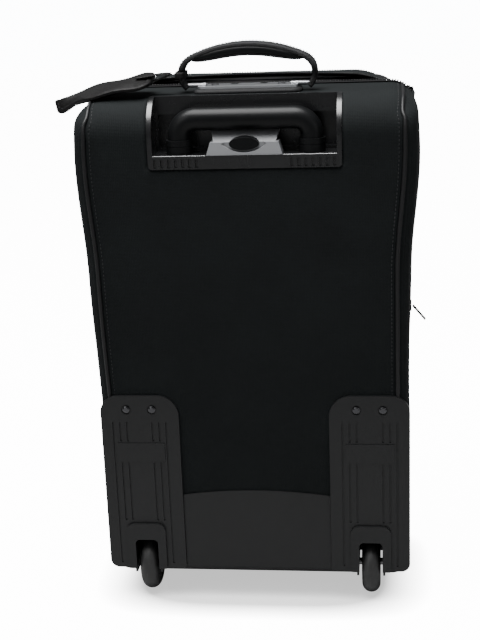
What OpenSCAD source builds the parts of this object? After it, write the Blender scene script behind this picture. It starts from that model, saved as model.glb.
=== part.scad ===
// Softside upright suitcase on two in-line wheels, with a two-stage pull handle,
// a zipped lid, an expansion bellows, a carry handle and a luggage tag.
// Frame: +Z up, -Y is the wheel and pull-handle side, +Y the lid side.
// The origin lies on the floor, on the centre plane.

/* [Body] */
// Width of the fabric body
body_w = 340; // [300:1:420]
// Height of the fabric body
body_h = 544; // [480:1:700]
// Gap between the floor and the body
floor_gap = 28; // [22:1:32]
// Depth of the back half, up to the expansion zipper
back_depth = 130; // [112:1:170]
// Depth of the front half, from the expansion zipper to the lid
front_depth = 60; // [56:1:110]
// Distance from the centre plane of the frame to the back face
back_offset = 115; // [100:1:140]
// Thickness of the padded walls
wall = 3.5; // [2.5:0.5:5]
// Radius of the edge between back and top
top_back_r = 38; // [32:1:46]
// Radius of the edge between back and bottom
bottom_back_r = 14; // [8:1:20]
// Radius of the corners seen from behind
corner_r = 22; // [16:1:34]
// Radius of the two upright back edges
side_back_r = 12; // [6:1:16]
// Width of the side panel's strip that turns onto the back face
side_turn = 12; // [10:1:20]
// How far the expansion bellows opens
expansion = 45; // [20:1:60]

/* [Lid] */
// Thickness of the padded lid
lid_t = 8; // [5:1:14]
// Thickness of the lower pocket when empty
lower_pocket_t = 18; // [10:1:30]
// Thickness of the upper pocket when empty
upper_pocket_t = 12; // [8:1:24]
// Radius of the lid's corners
lid_r = 36; // [24:1:44]

/* [Pull handle] */
// Distance between the two tubes
tube_spacing = 141; // [110:1:160]
// Outside diameter of the fixed outer tubes
outer_d = 20; // [19:0.5:22]
// Outside diameter of the middle tubes
mid_d = 17; // [16:0.5:17]
// Outside diameter of the inner tubes
inner_d = 14; // [12:0.5:14]
// Wall thickness of the tubes
tube_wall = 1.2; // [0.8:0.1:1.2]
// Diameter of the grip bar
grip_d = 24; // [20:0.5:24]
// Travel of each telescopic stage
stage_travel = 225; // [150:5:260]
// Outside diameter of the collars
collar_d = 28; // [26:0.5:29]
// Width of the moulded pan around the grip
pan_w = 204; // [180:1:240]
// Height of the pan's lower bar
pan_bar_h = 14; // [12:1:20]
// Depth of the pan's recess
pan_depth = 42; // [38:1:48]

/* [Wheels] */
// Wheel diameter
wheel_d = 70; // [60:1:76]
// Wheel width
wheel_w = 21; // [18:0.5:24]
// Distance between the two wheels
wheel_spacing = 256; // [210:1:270]
// Outside diameter of the bearings
bearing_d = 22; // [19:1:24]
// Width of each bearing
bearing_w = 7; // [5:1:7]
// Diameter of the axle bolts
axle_d = 8; // [6:1:8]
// Height of the wheel housings
housing_h = 211; // [160:1:240]
// Width of the wheel housings
housing_w = 88.5; // [76:0.5:100]

/* [Carry handle] */
// Height of the loop above the body
loop_h = 53; // [40:1:70]
// Half width of the loop
loop_x = 75; // [70:1:90]
// Width of the strap
strap_w = 26; // [20:1:32]
// Thickness of the strap
strap_t = 5; // [4:0.5:6]
// Largest lean of the loop to either side, in degrees
loop_lean = 25; // [15:1:30]

/* [Tag] */
// Length of the luggage tag
tag_l = 112; // [90:1:130]
// Width of the luggage tag
tag_w = 62; // [50:1:70]

/* [Hidden] */
$fn = 64;

gap = 0.4;                 // clearance between neighbours on different bodies
snug = 0.2;                // clearance between pieces of one body
eps = 1;                   // overshoot of a cutter
slide_fit = 0.1;           // radial clearance of a guided slide
half_w = body_w / 2;
back_y = -back_offset;
seam_y = back_y + back_depth;
frame_y = seam_y + gap;
lid_y = seam_y + front_depth + 4;
z_bottom = floor_gap;
z_top = floor_gap + body_h;
side_x = half_w - side_turn;

// Open part of the expansion zipper, seen from above
lens_half = 143;
lens_depth = front_depth - 15;
crest = 6;

// Pull handle levels
tube_y = back_y + 18;
grip_top = z_top - 9.5;
bar_z = grip_top - grip_d / 2;
pan_x = pan_w / 2;
pan_z = grip_top - 62;
ledge_z = pan_z + pan_bar_h;
ledge_t = 3;
mid_collar_z = ledge_z + gap;
collar_h = 8;
grip_collar_z = mid_collar_z + collar_h + gap;
grip_bend_r = 18;
pan_wall = 5;
pan_lip_y = tube_y + collar_d / 2 + 3;
tube_bottom = z_bottom + 34;

// Wheels
wheel_r = wheel_d / 2;
wheel_x = wheel_spacing / 2;
wheel_y = back_y + 25;
well_half = wheel_w / 2 + 3;
well_wall = 2.5;
well_top = wheel_d + 3.5;
well_front = wheel_y + wheel_r + 4;
axle_r = axle_d / 2;
plate_t = 4;
housing_z = z_bottom + 9;
housing_out = half_w + 2;
insert_t = 3;
insert_half = wheel_w / 2 + 12;
// The plate reaches in far enough to carry its wheel, however wide the case is
wheel_margin = 22;
housing_in = min(housing_out - housing_w, wheel_x - insert_half - wheel_margin);
insert_top = well_top + 19.5;
groove_pitch = 7.8;
screw_sink = 1.2;
panel_h = 22;
panel_z = housing_z + housing_h - 78;

// Carry handle
loop_y = back_y + 68;
base_t = 5;
base_half = 66;
plate_top = z_top + base_t + 2.5;
pin_z = z_top + base_t + 3;
pin_r = 2.5;
end_r = 22;
loop_top = z_top + loop_h;
end_cx = loop_x - end_r;
end_cz = loop_top - 33.5;
// Radius of the long upper arc that runs into both end arcs without a kink
crown_r = (pow(end_cx, 2) + pow(loop_top - end_cz, 2) - pow(end_r, 2)) / (2 * (loop_top - end_cz - end_r));
crown_cz = loop_top - crown_r;
crown_a = atan2(end_cx, end_cz - crown_cz);

// ---------- shape helpers ----------

// Rectangle with four corner radii: [low x low y, high x low y, high x high y, low x high y]
module round_rect(x0, x1, y0, y1, r) {
  polygon([[x0 + r[0], y0], [x1 - r[1], y0], [x1, y0 + r[1]], [x1, y1 - r[2]],
           [x1 - r[2], y1], [x0 + r[3], y1], [x0, y1 - r[3]], [x0, y0 + r[0]]]);
  if (r[0] > 0) translate([x0 + r[0], y0 + r[0]]) circle(r[0]);
  if (r[1] > 0) translate([x1 - r[1], y0 + r[1]]) circle(r[1]);
  if (r[2] > 0) translate([x1 - r[2], y1 - r[2]]) circle(r[2]);
  if (r[3] > 0) translate([x0 + r[3], y1 - r[3]]) circle(r[3]);
}

// Extrudes an X-Z outline along Y
module along_y(y0, y1) { translate([0, y1, 0]) rotate([90, 0, 0]) linear_extrude(y1 - y0) children(); }

// Extrudes a Y-Z outline along X
module along_x(x0, x1) { translate([x0, 0, 0]) rotate([90, 0, 90]) linear_extrude(x1 - x0) children(); }

module box(x0, x1, y0, y1, z0, z1) { translate([x0, y0, z0]) cube([x1 - x0, y1 - y0, z1 - z0]); }

module rod_x(x0, x1, y, z, r) { translate([x0, y, z]) rotate([0, 90, 0]) cylinder(h = x1 - x0, r = r); }

module rod_y(x, y0, y1, z, r) { translate([x, y1, z]) rotate([90, 0, 0]) cylinder(h = y1 - y0, r = r); }

module rod_z(x, y, z0, z1, r) { translate([x, y, z0]) cylinder(h = z1 - z0, r = r); }

module pipe_z(x, y, z0, z1, r, t) {
  difference() {
    rod_z(x, y, z0, z1, r);
    rod_z(x, y, z0 - eps, z1 + eps, r - t);
  }
}

// ---------- body shell ----------

// Side profile of the back half, grown outwards by g
module side_profile(g, y_end) {
  round_rect(back_y - g, y_end, z_bottom - g, z_top + g, [bottom_back_r + g, 0, 0, top_back_r + g]);
}

// Points of one rounded corner, from angle a0 on through 90 degrees
function corner(cx, cy, r, a0, n = 6) =
  [for (k = [0:n]) [cx + r * cos(a0 + 90 * k / n), cy + r * sin(a0 + 90 * k / n)]];

// Outline with corners drawn as short straight runs
function soft_rect(x0, x1, y0, y1, r, n = 6) = concat(
  corner(x0 + r, y0 + r, r, 180, n), corner(x1 - r, y0 + r, r, 270, n),
  corner(x1 - r, y1 - r, r, 0, n), corner(x0 + r, y1 - r, r, 90, n));

// Outer form of the back half, taken in by i
module case_form(i, y_end) {
  cut = side_back_r * 0.6 - i * 0.4;
  intersection() {
    along_y(back_y - 5, y_end)
      polygon(soft_rect(-half_w + i, half_w - i, z_bottom + i, z_top - i, corner_r - i));
    along_x(-half_w - 5, half_w + 5) side_profile(-i, y_end + 5);
    translate([0, 0, z_bottom - 5]) linear_extrude(body_h + 10)
      polygon([[-half_w + i + cut, back_y + i - 0.01], [half_w - i - cut, back_y + i - 0.01],
               [half_w - i + 0.01, back_y + i + cut], [half_w + 5, back_y + i + cut + 30],
               [half_w + 5, y_end + 10], [-half_w - 5, y_end + 10],
               [-half_w - 5, back_y + i + cut + 30], [-half_w + i - 0.01, back_y + i + cut]]);
  }
}

module shell() {
  difference() {
    case_form(0, seam_y);
    case_form(wall, seam_y + 5);
  }
}

// Room taken by one wheel well in the shell, for both wheels
module well_cuts(grow) {
  for (s = [-1, 1])
    rod_x(s * wheel_x - well_half - well_wall - 5, s * wheel_x + well_half + well_wall + 5,
          wheel_y, wheel_r, 7 + grow);
  for (s = [-1, 1])
    box(s * wheel_x - well_half - well_wall - grow, s * wheel_x + well_half + well_wall + grow,
        back_y - 10, well_front + well_wall + grow, 0, well_top + well_wall + grow);
}

module back_wrap() {
  color([0.09, 0.095, 0.1])
  difference() {
    intersection() {
      shell();
      box(-side_x, side_x, back_y - 5, seam_y + 5, z_bottom + bottom_back_r, z_top + 5);
    }
    box(-pan_x - snug, pan_x + snug, back_y - 5, pan_lip_y + snug, pan_z - snug, z_top + 5);
    well_cuts(snug);
  }
}

module bottom_panel() {
  color([0.07, 0.07, 0.075])
  difference() {
    intersection() {
      shell();
      box(-side_x, side_x, back_y - 5, seam_y + 5, z_bottom - 5, z_bottom + bottom_back_r);
    }
    well_cuts(snug);
  }
}

module side_panel(s) {
  color([0.09, 0.095, 0.1])
  difference() {
    intersection() {
      shell();
      if (s > 0) box(side_x, half_w + 5, back_y - 5, seam_y + 5, z_bottom - 5, z_top + 5);
      if (s < 0) box(-half_w - 5, -side_x, back_y - 5, seam_y + 5, z_bottom - 5, z_top + 5);
    }
    well_cuts(snug);
  }
}

// Beads over the seams between the back and the side panels
module edge_piping() {
  color([0.06, 0.06, 0.065])
  for (s = [-1, 1])
    intersection() {
      difference() {
        case_form(-1.6, seam_y - 0.5);
        case_form(0, seam_y + 5);
      }
      translate([s * (side_x + 1.5), 0, 0])
        box(-1.5, 1.5, back_y - 5, seam_y - 4.5, housing_z + housing_h + 1, z_top + 5);
    }
}

// ---------- back trim ----------

module kick_plate() {
  arch = 6;
  half = housing_in - snug;
  arch_r = (half * half + arch * arch) / (2 * arch);
  color([0.07, 0.07, 0.075])
  along_y(back_y - 2, back_y)
  intersection() {
    round_rect(-half, half, housing_z + 2, housing_z + 110, [0, 0, 0, 0]);
    translate([0, housing_z + 97 - arch_r]) circle(arch_r, $fn = 256);
  }
}

module pan_outline(g) {
  round_rect(-pan_x - g, pan_x + g, pan_z - g, z_top + 10, [4, 4, 2, 2]);
}

// Grooves moulded in the pan's lower bar
module pan_grooves() {
  groove_w = 3.4;
  pitch = 7.4;
  for (s = [-1, 1], i = [0:6])
    box(s * (50 + i * pitch) - groove_w / 2, s * (50 + i * pitch) + groove_w / 2,
        back_y - 5, back_y + 0.6, pan_z + 1.5, ledge_z - 3);
}

module handle_pan() {
  rim = 1.5;
  deep = back_y + pan_depth;
  color([0.05, 0.05, 0.055])
  difference() {
    union() {
      intersection() {
        along_y(back_y - 3, pan_lip_y) pan_outline(0);
        along_x(-pan_x - 5, pan_x + 5) side_profile(rim, seam_y);
      }
      box(-pan_x + 2, pan_x - 2, pan_lip_y - 2, deep + 2.5, pan_z + 6, bar_z + 6.5);
    }
    box(-pan_x + pan_wall, pan_x - pan_wall, back_y - 5, pan_lip_y - 2, ledge_z, z_top + 10);
    box(-pan_x + pan_wall + 2, pan_x - pan_wall - 2, pan_lip_y - 3, deep, ledge_z + ledge_t, bar_z + 3.5);
    box(-pan_x + pan_wall, pan_x - pan_wall, back_y + 3, deep + 5, pan_z - 5, ledge_z - ledge_t);
    for (s = [-1, 1])
      rod_z(s * tube_spacing / 2, tube_y, pan_z - 5, ledge_z + 5, mid_d / 2 + slide_fit);
    rod_y(0, deep - 5, deep + 5, button_z, stem_r + 0.3);
    pan_grooves();
  }
}

// ---------- latch island and button ----------
button_z = ledge_z + 11.3;
button_a = 15.6;
button_b = 6.6;
stem_r = 3.5;
button_back = back_y + 12;
button_travel = 3.5;
spring_r = 5.2;
spring_end = back_y + 26;

module oval(a, b) { polygon([for (k = [0:47]) [a * cos(k * 7.5), b * sin(k * 7.5)]]); }

module trapezoid(bottom, top, z0, z1) { polygon([[-bottom, z0], [bottom, z0], [top, z1], [-top, z1]]); }

module latch_cover() {
  step_z = ledge_z + 13;
  back = back_y + pan_depth;
  color([0.1, 0.1, 0.105])
  difference() {
    union() {
      intersection() {
        along_y(back_y, back) trapezoid(40, 36, ledge_z, step_z);
        along_x(-45, 45) polygon([[back_y + 0.5, ledge_z], [back_y + 2.5, step_z], [back_y + 24, step_z],
                                  [back_y + 24, ledge_z]]);
      }
      intersection() {
        along_y(back_y, back) trapezoid(33, 37, step_z, step_z + 13);
        along_x(-45, 45) polygon([[back_y + 7, step_z], [back_y + 24, step_z + 12.5], [back, step_z + 12.5],
                                  [back, step_z]]);
      }
    }
    along_y(back_y - 5, back_y + 4.5)
      intersection() {
        translate([0, button_z + 26]) circle(35, $fn = 96);
        translate([0, button_z - 26]) circle(35, $fn = 96);
      }
    translate([0, 0, button_z]) along_y(back_y - 5, button_back + button_travel + 0.5)
      oval(button_a + gap, button_b + gap);
    rod_y(0, back_y, spring_end, button_z, spring_r + 1);
    rod_y(0, back_y, back + 5, button_z, stem_r + slide_fit);
  }
}

module release_button() {
  color([0.08, 0.08, 0.085])
  union() {
    translate([0, 0, button_z]) along_y(back_y + 1.5, button_back) oval(button_a, button_b);
    rod_y(0, button_back - 1, back_y + pan_depth + 1, button_z, stem_r);
  }
}

// A helical wire as one swept tube: points along the coil, a ring of sides around each
function coil_point(u, r, turns, y0, y1) = [r * cos(360 * turns * u), y0 + (y1 - y0) * u, r * sin(360 * turns * u)];

module coil(r, wire, turns, y0, y1, sides = 8, steps = 12) {
  n = turns * steps;
  rings = [for (i = [0:n], k = [0:sides - 1])
    let (u = i / n, a = 360 * k / sides, t = 360 * turns * u,
         p = coil_point(u, r, turns, y0, y1))
      p + [wire * cos(a) * cos(t), wire * sin(a), wire * cos(a) * sin(t)]];
  polyhedron(rings, concat(
    [[for (k = [0:sides - 1]) k]],
    [for (i = [0:n - 1], k = [0:sides - 1])
      [i * sides + k, i * sides + (k + 1) % sides + sides, i * sides + (k + 1) % sides]],
    [for (i = [0:n - 1], k = [0:sides - 1])
      [i * sides + k, i * sides + k + sides, i * sides + (k + 1) % sides + sides]],
    [[for (k = [sides - 1:-1:0]) n * sides + k]]));
}

module button_spring() {
  color([0.6, 0.6, 0.62])
  translate([0, 0, button_z]) coil(4.6, 0.45, 5, button_back + 0.6, spring_end - 0.6);
}

// ---------- pull handle ----------

module outer_tube(s) {
  color([0.55, 0.56, 0.58])
  pipe_z(s * tube_spacing / 2, tube_y, tube_bottom, ledge_z - ledge_t, outer_d / 2, tube_wall);
}

module mid_tube(s) {
  color([0.62, 0.63, 0.65])
  pipe_z(s * tube_spacing / 2, tube_y, tube_bottom + 12, mid_collar_z + collar_h - 3, mid_d / 2, tube_wall);
}

module inner_tube(s) {
  color([0.68, 0.69, 0.71])
  pipe_z(s * tube_spacing / 2, tube_y, tube_bottom + 24, grip_collar_z + 20, inner_d / 2, tube_wall);
}

module mid_collars() {
  color([0.06, 0.06, 0.065])
  for (s = [-1, 1])
    difference() {
      rod_z(s * tube_spacing / 2, tube_y, mid_collar_z, mid_collar_z + collar_h, collar_d / 2);
      rod_z(s * tube_spacing / 2, tube_y, mid_collar_z - eps, mid_collar_z + collar_h - 3, mid_d / 2);
      rod_z(s * tube_spacing / 2, tube_y, mid_collar_z, mid_collar_z + collar_h + eps, inner_d / 2 + slide_fit);
    }
}

module pull_grip() {
  x = tube_spacing / 2;
  bend_z = bar_z - grip_bend_r;
  color([0.05, 0.05, 0.055])
  difference() {
    union() {
      rod_x(-x + grip_bend_r, x - grip_bend_r, tube_y, bar_z, grip_d / 2);
      for (s = [-1, 1]) {
        translate([s * (x - grip_bend_r), tube_y, bend_z]) rotate([90, 0, s > 0 ? 0 : 180])
          rotate_extrude(angle = 90) translate([grip_bend_r, 0]) circle(grip_d / 2);
        rod_z(s * x, tube_y, grip_collar_z, bend_z, grip_d / 2);
        rod_z(s * x, tube_y, grip_collar_z, grip_collar_z + 6, collar_d / 2);
      }
    }
    for (s = [-1, 1]) rod_z(s * x, tube_y, grip_collar_z - eps, grip_collar_z + 20, inner_d / 2);
  }
}

module tube_foot_bracket() {
  x = tube_spacing / 2 + 16;
  color([0.05, 0.05, 0.055])
  box(-x, x, back_y + wall, tube_y + 12, tube_bottom - 10, tube_bottom);
}

module tube_cover() {
  x = tube_spacing / 2 + outer_d / 2 + 5;
  top = pan_z + 4;
  color([0.2, 0.2, 0.21])
  difference() {
    box(-x, x, back_y + wall, tube_y + 15, tube_bottom + 1, top);
    box(-x + 2, x - 2, back_y + wall - eps, tube_y + 13, tube_bottom - 20, top + eps);
  }
}

// ---------- wheels and housings ----------

module housing_outline() {
  round_rect(housing_in, housing_out, housing_z, housing_z + housing_h, [3, 10, 20, 24]);
}

// Three upright grooves each side; the outer pair runs down beside the insert, the rest stop at the panel
module housing_grooves() {
  top = housing_z + housing_h - 31;
  for (m = [-1, 1]) {
    groove(wheel_x + m * (insert_half + 7.5), housing_z + 6, top);
    for (i = [1, 2]) {
      groove(wheel_x + m * (insert_half + 7.5 - i * groove_pitch), insert_top + 4, panel_z - 2);
      groove(wheel_x + m * (insert_half + 7.5 - i * groove_pitch), panel_z + panel_h + 2, top);
    }
  }
}

module groove(x, z0, z1) {
  box(x - 1.1, x + 1.1, back_y - plate_t - eps, back_y - plate_t + 1.2, z0, z1);
}

module wheel_housing(s) {
  color([0.06, 0.06, 0.065])
  mirror([s > 0 ? 0 : 1, 0, 0])
  difference() {
    union() {
      along_y(back_y - plate_t, back_y) housing_outline();
      box(wheel_x - insert_half - 4.5, wheel_x + insert_half + 4.5, back_y - plate_t - 0.8, back_y - plate_t,
          panel_z, panel_z + panel_h);
      intersection() {
        along_y(back_y - plate_t, back_y + 38) housing_outline();
        box(half_w, housing_out, back_y - plate_t, back_y + 40, housing_z, housing_z + housing_h - 18);
      }
      box(wheel_x - well_half - well_wall, wheel_x + well_half + well_wall, back_y - 1,
          well_front + well_wall, z_bottom + 2, well_top + well_wall);
    }
    box(wheel_x - well_half, wheel_x + well_half, back_y - 10, well_front, -5, well_top);
    rod_x(wheel_x - well_half - 5, wheel_x + well_half + 5, wheel_y, wheel_r, axle_r);
    for (x = [wheel_x - 14.5, wheel_x + 14.5])
      rod_y(x, back_y - 10, back_y + 1, housing_z + housing_h - 16, 2);
    for (x = [wheel_x - 14.5, wheel_x + 14.5])
      rod_y(x, back_y - plate_t - 1, back_y - plate_t + screw_sink, housing_z + housing_h - 16, 5.6);
    housing_grooves();
  }
}

module wheel_insert(s) {
  color([0.07, 0.07, 0.075])
  mirror([s > 0 ? 0 : 1, 0, 0])
  along_y(back_y - plate_t - insert_t, back_y - plate_t)
  difference() {
    round_rect(wheel_x - insert_half, wheel_x + insert_half, housing_z, insert_top, [2, 2, 9, 9]);
    round_rect(wheel_x - well_half + 0.5, wheel_x + well_half - 0.5, housing_z - 5, well_top, [0, 0, 5, 5]);
  }
}

module housing_screws() {
  color([0.5, 0.5, 0.52])
  for (s = [-1, 1], d = [-14.5, 14.5])
    translate([s * wheel_x + d, back_y - plate_t + screw_sink, housing_z + housing_h - 16]) rotate([90, 0, 0]) {
      cylinder(h = 1.4, r = 4);
      translate([0, 0, 1.4]) cylinder(h = 1, r1 = 4, r2 = 2.4);
      translate([0, 0, -plate_t + screw_sink + 0.5]) cylinder(h = plate_t - screw_sink, r = 2);
    }
}

module axle(s) {
  x = s * wheel_x;
  out = well_half + well_wall;
  color([0.6, 0.6, 0.62])
  union() {
    rod_x(x - out, x + out, wheel_y, wheel_r, axle_r);
    rod_x(x - out - 4, x - out, wheel_y, wheel_r, 6.5);
    rod_x(x + out, x + out + 4, wheel_y, wheel_r, 6.5);
  }
}

// Half section of the tyre: rounded tread, flat sides, bore for the hub
module tyre_section() {
  hub_r = wheel_r - 13;
  crown = wheel_w / 2;
  intersection() {
    union() {
      translate([hub_r, -crown + 1]) square([wheel_r - crown - hub_r, wheel_w - 2]);
      translate([wheel_r - crown, 0]) circle(crown);
    }
    translate([hub_r, -crown]) square([40, wheel_w]);
  }
}

module tyre(s) {
  color([0.1, 0.1, 0.1])
  translate([s * wheel_x, wheel_y, wheel_r]) rotate([0, 90, 0]) rotate_extrude($fn = 96) tyre_section();
}

// Moulded hub with a bearing pressed into each side; three separate solids
module hub_bearings(s) {
  hub_r = wheel_r - 13;
  half = wheel_w / 2 - 1;
  seat = half - bearing_w;
  color([0.45, 0.45, 0.46])
  translate([s * wheel_x, wheel_y, wheel_r]) rotate([0, 90, 0]) {
    rotate_extrude()
      difference() {
        translate([axle_r + 1.5, -half]) square([hub_r - axle_r - 1.5, 2 * half]);
        for (m = [-1, 1])
          translate([0, m > 0 ? seat : -half - eps]) square([bearing_d / 2, bearing_w + eps]);
      }
    for (m = [-1, 1])
      translate([0, 0, m > 0 ? seat : -half])
        difference() {
          cylinder(h = bearing_w, r = bearing_d / 2);
          translate([0, 0, -eps]) cylinder(h = bearing_w + 2 * eps, r = axle_r + 0.05);
        }
  }
}

// ---------- carry handle ----------

module carry_handle_base() {
  color([0.06, 0.06, 0.065])
  translate([0, loop_y, z_top]) linear_extrude(base_t)
    round_rect(-base_half + 8, base_half - 8, -18, 18, [8, 8, 8, 8]);
}

module carry_handle_plate() {
  color([0.5, 0.5, 0.52])
  union() {
    difference() {
      translate([0, loop_y, z_top + base_t]) linear_extrude(2.5)
        round_rect(-54, 54, -13, 13, [5, 5, 5, 5]);
      for (x = [-16, 16]) box(x - 4, x + 4, loop_y + 7, loop_y + 20, z_top + base_t - eps, z_top + base_t + 4);
      for (x = [-36, 36]) rod_z(x, loop_y, z_top + base_t - eps, z_top + base_t + 4, 2.1);
    }
    for (s = [-1, 1])
      rod_x(min(s * 46, s * (end_cx + 17)), max(s * 46, s * (end_cx + 17)), loop_y, pin_z, pin_r);
  }
}

module carry_plate_screws() {
  color([0.6, 0.6, 0.62])
  for (x = [-36, 36]) {
    rod_z(x, loop_y, z_top + base_t + 2.5, z_top + base_t + 4, 4);
    rod_z(x, loop_y, z_top + base_t, z_top + base_t + 3, 2);
  }
}

// Loop outline in X-Z: a long crown arc, two end arcs that curl back to the pins
module loop_outline(g) {
  intersection() {
    translate([0, crown_cz]) circle(crown_r + g, $fn = 180);
    polygon([[0, crown_cz], [1000 * sin(crown_a), crown_cz + 1000 * cos(crown_a)],
             [-1000 * sin(crown_a), crown_cz + 1000 * cos(crown_a)]]);
  }
  for (s = [-1, 1]) translate([s * end_cx, end_cz]) circle(end_r + g, $fn = 96);
  polygon([[-end_cx, end_cz - end_r - g], [end_cx, end_cz - end_r - g],
           [end_cx, end_cz], [-end_cx, end_cz]]);
}

module carry_strap() {
  pad_bottom = loop_top - 18;
  color([0.08, 0.08, 0.085])
  difference() {
    union() {
      along_y(loop_y - strap_w / 2, loop_y + strap_w / 2)
        difference() {
          loop_outline(0);
          loop_outline(-strap_t);
          polygon([[-loop_x - 20, pin_z + 6], [loop_x + 20, pin_z + 6], [loop_x + 20, z_top - 30],
                   [-loop_x - 20, z_top - 30]]);
        }
      along_y(loop_y - strap_w / 2, loop_y + strap_w / 2)
        intersection() {
          loop_outline(-strap_t + 0.5);
          round_rect(-44, 44, pad_bottom, loop_top, [5, 5, 0, 0]);
        }
      for (s = [-1, 1])
        intersection() {
          along_y(loop_y - 7, loop_y + 7)
            difference() {
              loop_outline(0);
              loop_outline(-strap_t);
              polygon([[-end_cx - 11, z_top - 30], [end_cx + 11, z_top - 30], [end_cx + 11, end_cz],
                       [-end_cx - 11, end_cz]]);
            }
          box(-loop_x - 5, loop_x + 5, loop_y - 7, loop_y + 7, pin_z - 4, pin_z + 8);
        }
    }
    for (s = [-1, 1])
      rod_x(min(s * 46, s * (end_cx + 17.5)), max(s * 46, s * (end_cx + 17.5)), loop_y, pin_z, pin_r + slide_fit);
  }
}

// ---------- luggage tag ----------
// The tag falls by tag_drop on its way from the handle to the corner of the case
tag_drop = 9.14;
tag_x = -101;
tag_tilt = atan(tag_drop / (half_w - corner_r + tag_x));
tag_roll = 8;
tag_y = loop_y - 13;
tag_z = z_top + 15;

module luggage_tag() {
  color([0.07, 0.065, 0.06])
  translate([tag_x, tag_y, tag_z]) rotate([0, -tag_tilt, 0]) rotate([tag_roll, 0, 0]) {
    translate([-tag_l, 0, 0]) linear_extrude(4.5)
      difference() {
        round_rect(0, tag_l, -tag_w / 2, tag_w / 2, [10, 14, 14, 10]);
        round_rect(tag_l - 13, tag_l - 8, -10, 10, [2, 2, 2, 2]);
      }
  }
}

// Folded strap that holds the tag's end and reaches towards the handle
module tag_strap() {
  color([0.08, 0.075, 0.07])
  translate([tag_x, tag_y, tag_z]) rotate([0, -tag_tilt, 0]) rotate([tag_roll, 0, 0])
  difference() {
    box(-6.6, -tag_x - loop_x - 4.5, -8.5, 8.5, -1.5, 6);
    box(-20, 7, -12, 12, -0.1, 4.6);
  }
}

// Leather band round the left limb of the handle
module tag_loop() {
  z = end_cz - 3;
  color([0.08, 0.075, 0.07])
  difference() {
    box(-loop_x - 2.2, -loop_x + strap_t + 2.4, loop_y - strap_w / 2 - 2.2, loop_y + strap_w / 2 + 2.2, z, z + 7);
    box(-loop_x - 0.2, -loop_x + strap_t + 0.5, loop_y - strap_w / 2 - 0.2, loop_y + strap_w / 2 + 0.2, z - 1, z + 8);
  }
}

// ---------- expansion, front half and lid ----------

module front_outline(g) {
  round_rect(-half_w - g + 2, half_w + g - 2, z_bottom - g + 2, z_top + crest + g, [for (k = [0:3]) lid_r + g]);
}

// Lens cut in the top wall, where the open expansion zipper bows forward
module lens(grow) {
  r = (lens_half * lens_half + lens_depth * lens_depth) / (2 * lens_depth);
  intersection() {
    translate([0, frame_y + lens_depth - r]) circle(r + grow, $fn = 256);
    translate([-lens_half - 20, frame_y - 5]) square([2 * lens_half + 40, lens_depth + 20]);
  }
}

module front_ring(y0, y1, out, t) {
  along_y(y0, y1)
    difference() {
      front_outline(out);
      front_outline(out - t);
    }
}

module front_band() {
  color([0.09, 0.095, 0.1])
  difference() {
    front_ring(frame_y, seam_y + front_depth, 0, wall);
    translate([0, 0, z_top - 12]) linear_extrude(30) lens(0);
  }
}

module frame_hoop() {
  color([0.5, 0.5, 0.52])
  front_ring(seam_y + front_depth - 14, seam_y + front_depth - 4, -wall, 2);
}

module expansion_chain_back() {
  color([0.05, 0.05, 0.055])
  difference() {
    along_y(seam_y - 4, seam_y - 0.5)
      round_rect(-half_w - 1.2, half_w + 1.2, z_bottom - 1.2, z_top + 1.2, [for (k = [0:3]) corner_r + 1.2]);
    along_y(seam_y - 6, seam_y + 2)
      round_rect(-half_w, half_w, z_bottom, z_top, [for (k = [0:3]) corner_r]);
  }
}

module expansion_chain_front() {
  x = lens_half + 6;
  color([0.05, 0.05, 0.055]) {
    difference() {
      front_ring(frame_y + 0.5, frame_y + 4, 1.2, 1.2);
      box(-x, x, frame_y - 5, frame_y + 20, z_top - 30, z_top + 20);
    }
    translate([0, 0, z_top + crest]) linear_extrude(1.2)
      difference() {
        lens(3.7);
        lens(0.2);
        translate([-x - 20, frame_y - 10]) square([2 * x + 40, 11]);
      }
  }
}

module expansion_bellows() {
  color([0.07, 0.07, 0.075])
  front_ring(seam_y, frame_y + lens_depth + 4, -wall - 3, 1.2);
}

module main_chain_frame() {
  color([0.05, 0.05, 0.055])
  front_ring(seam_y + front_depth, seam_y + front_depth + 1.7, 0, 3);
}

module main_chain_lid() {
  color([0.05, 0.05, 0.055])
  front_ring(lid_y - 1.9, lid_y, 0, 3);
}

module lid_panel() {
  color([0.09, 0.095, 0.1])
  along_y(lid_y, lid_y + lid_t) front_outline(0);
}

pocket_half = half_w - 16;
lower_pocket_top = z_top - 159;
upper_pocket_top = z_top - 22;
module lower_pocket() {
  color([0.09, 0.095, 0.1])
  along_y(lid_y + lid_t, lid_y + lid_t + lower_pocket_t)
    round_rect(-pocket_half, pocket_half, z_bottom + 20, lower_pocket_top, [26, 26, 14, 14]);
}

module upper_pocket() {
  color([0.09, 0.095, 0.1])
  along_y(lid_y + lid_t, lid_y + lid_t + upper_pocket_t)
    round_rect(-pocket_half, pocket_half, lower_pocket_top + 12, upper_pocket_top, [10, 10, 26, 26]);
}

module pocket_chains() {
  color([0.05, 0.05, 0.055]) {
    box(-pocket_half + 16, pocket_half - 16, lid_y + lid_t + 4, lid_y + lid_t + 8,
        lower_pocket_top, lower_pocket_top + 1.2);
    box(-pocket_half + 28, pocket_half - 28, lid_y + lid_t + 4, lid_y + lid_t + 8,
        upper_pocket_top, upper_pocket_top + 1.2);
  }
}

module lid_lining() {
  color([0.25, 0.25, 0.26])
  along_y(lid_y - 1.2, lid_y)
    round_rect(-half_w + 14, half_w - 14, z_bottom + 14, z_top - 14, [for (k = [0:3]) lid_r - 12]);
}

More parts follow.
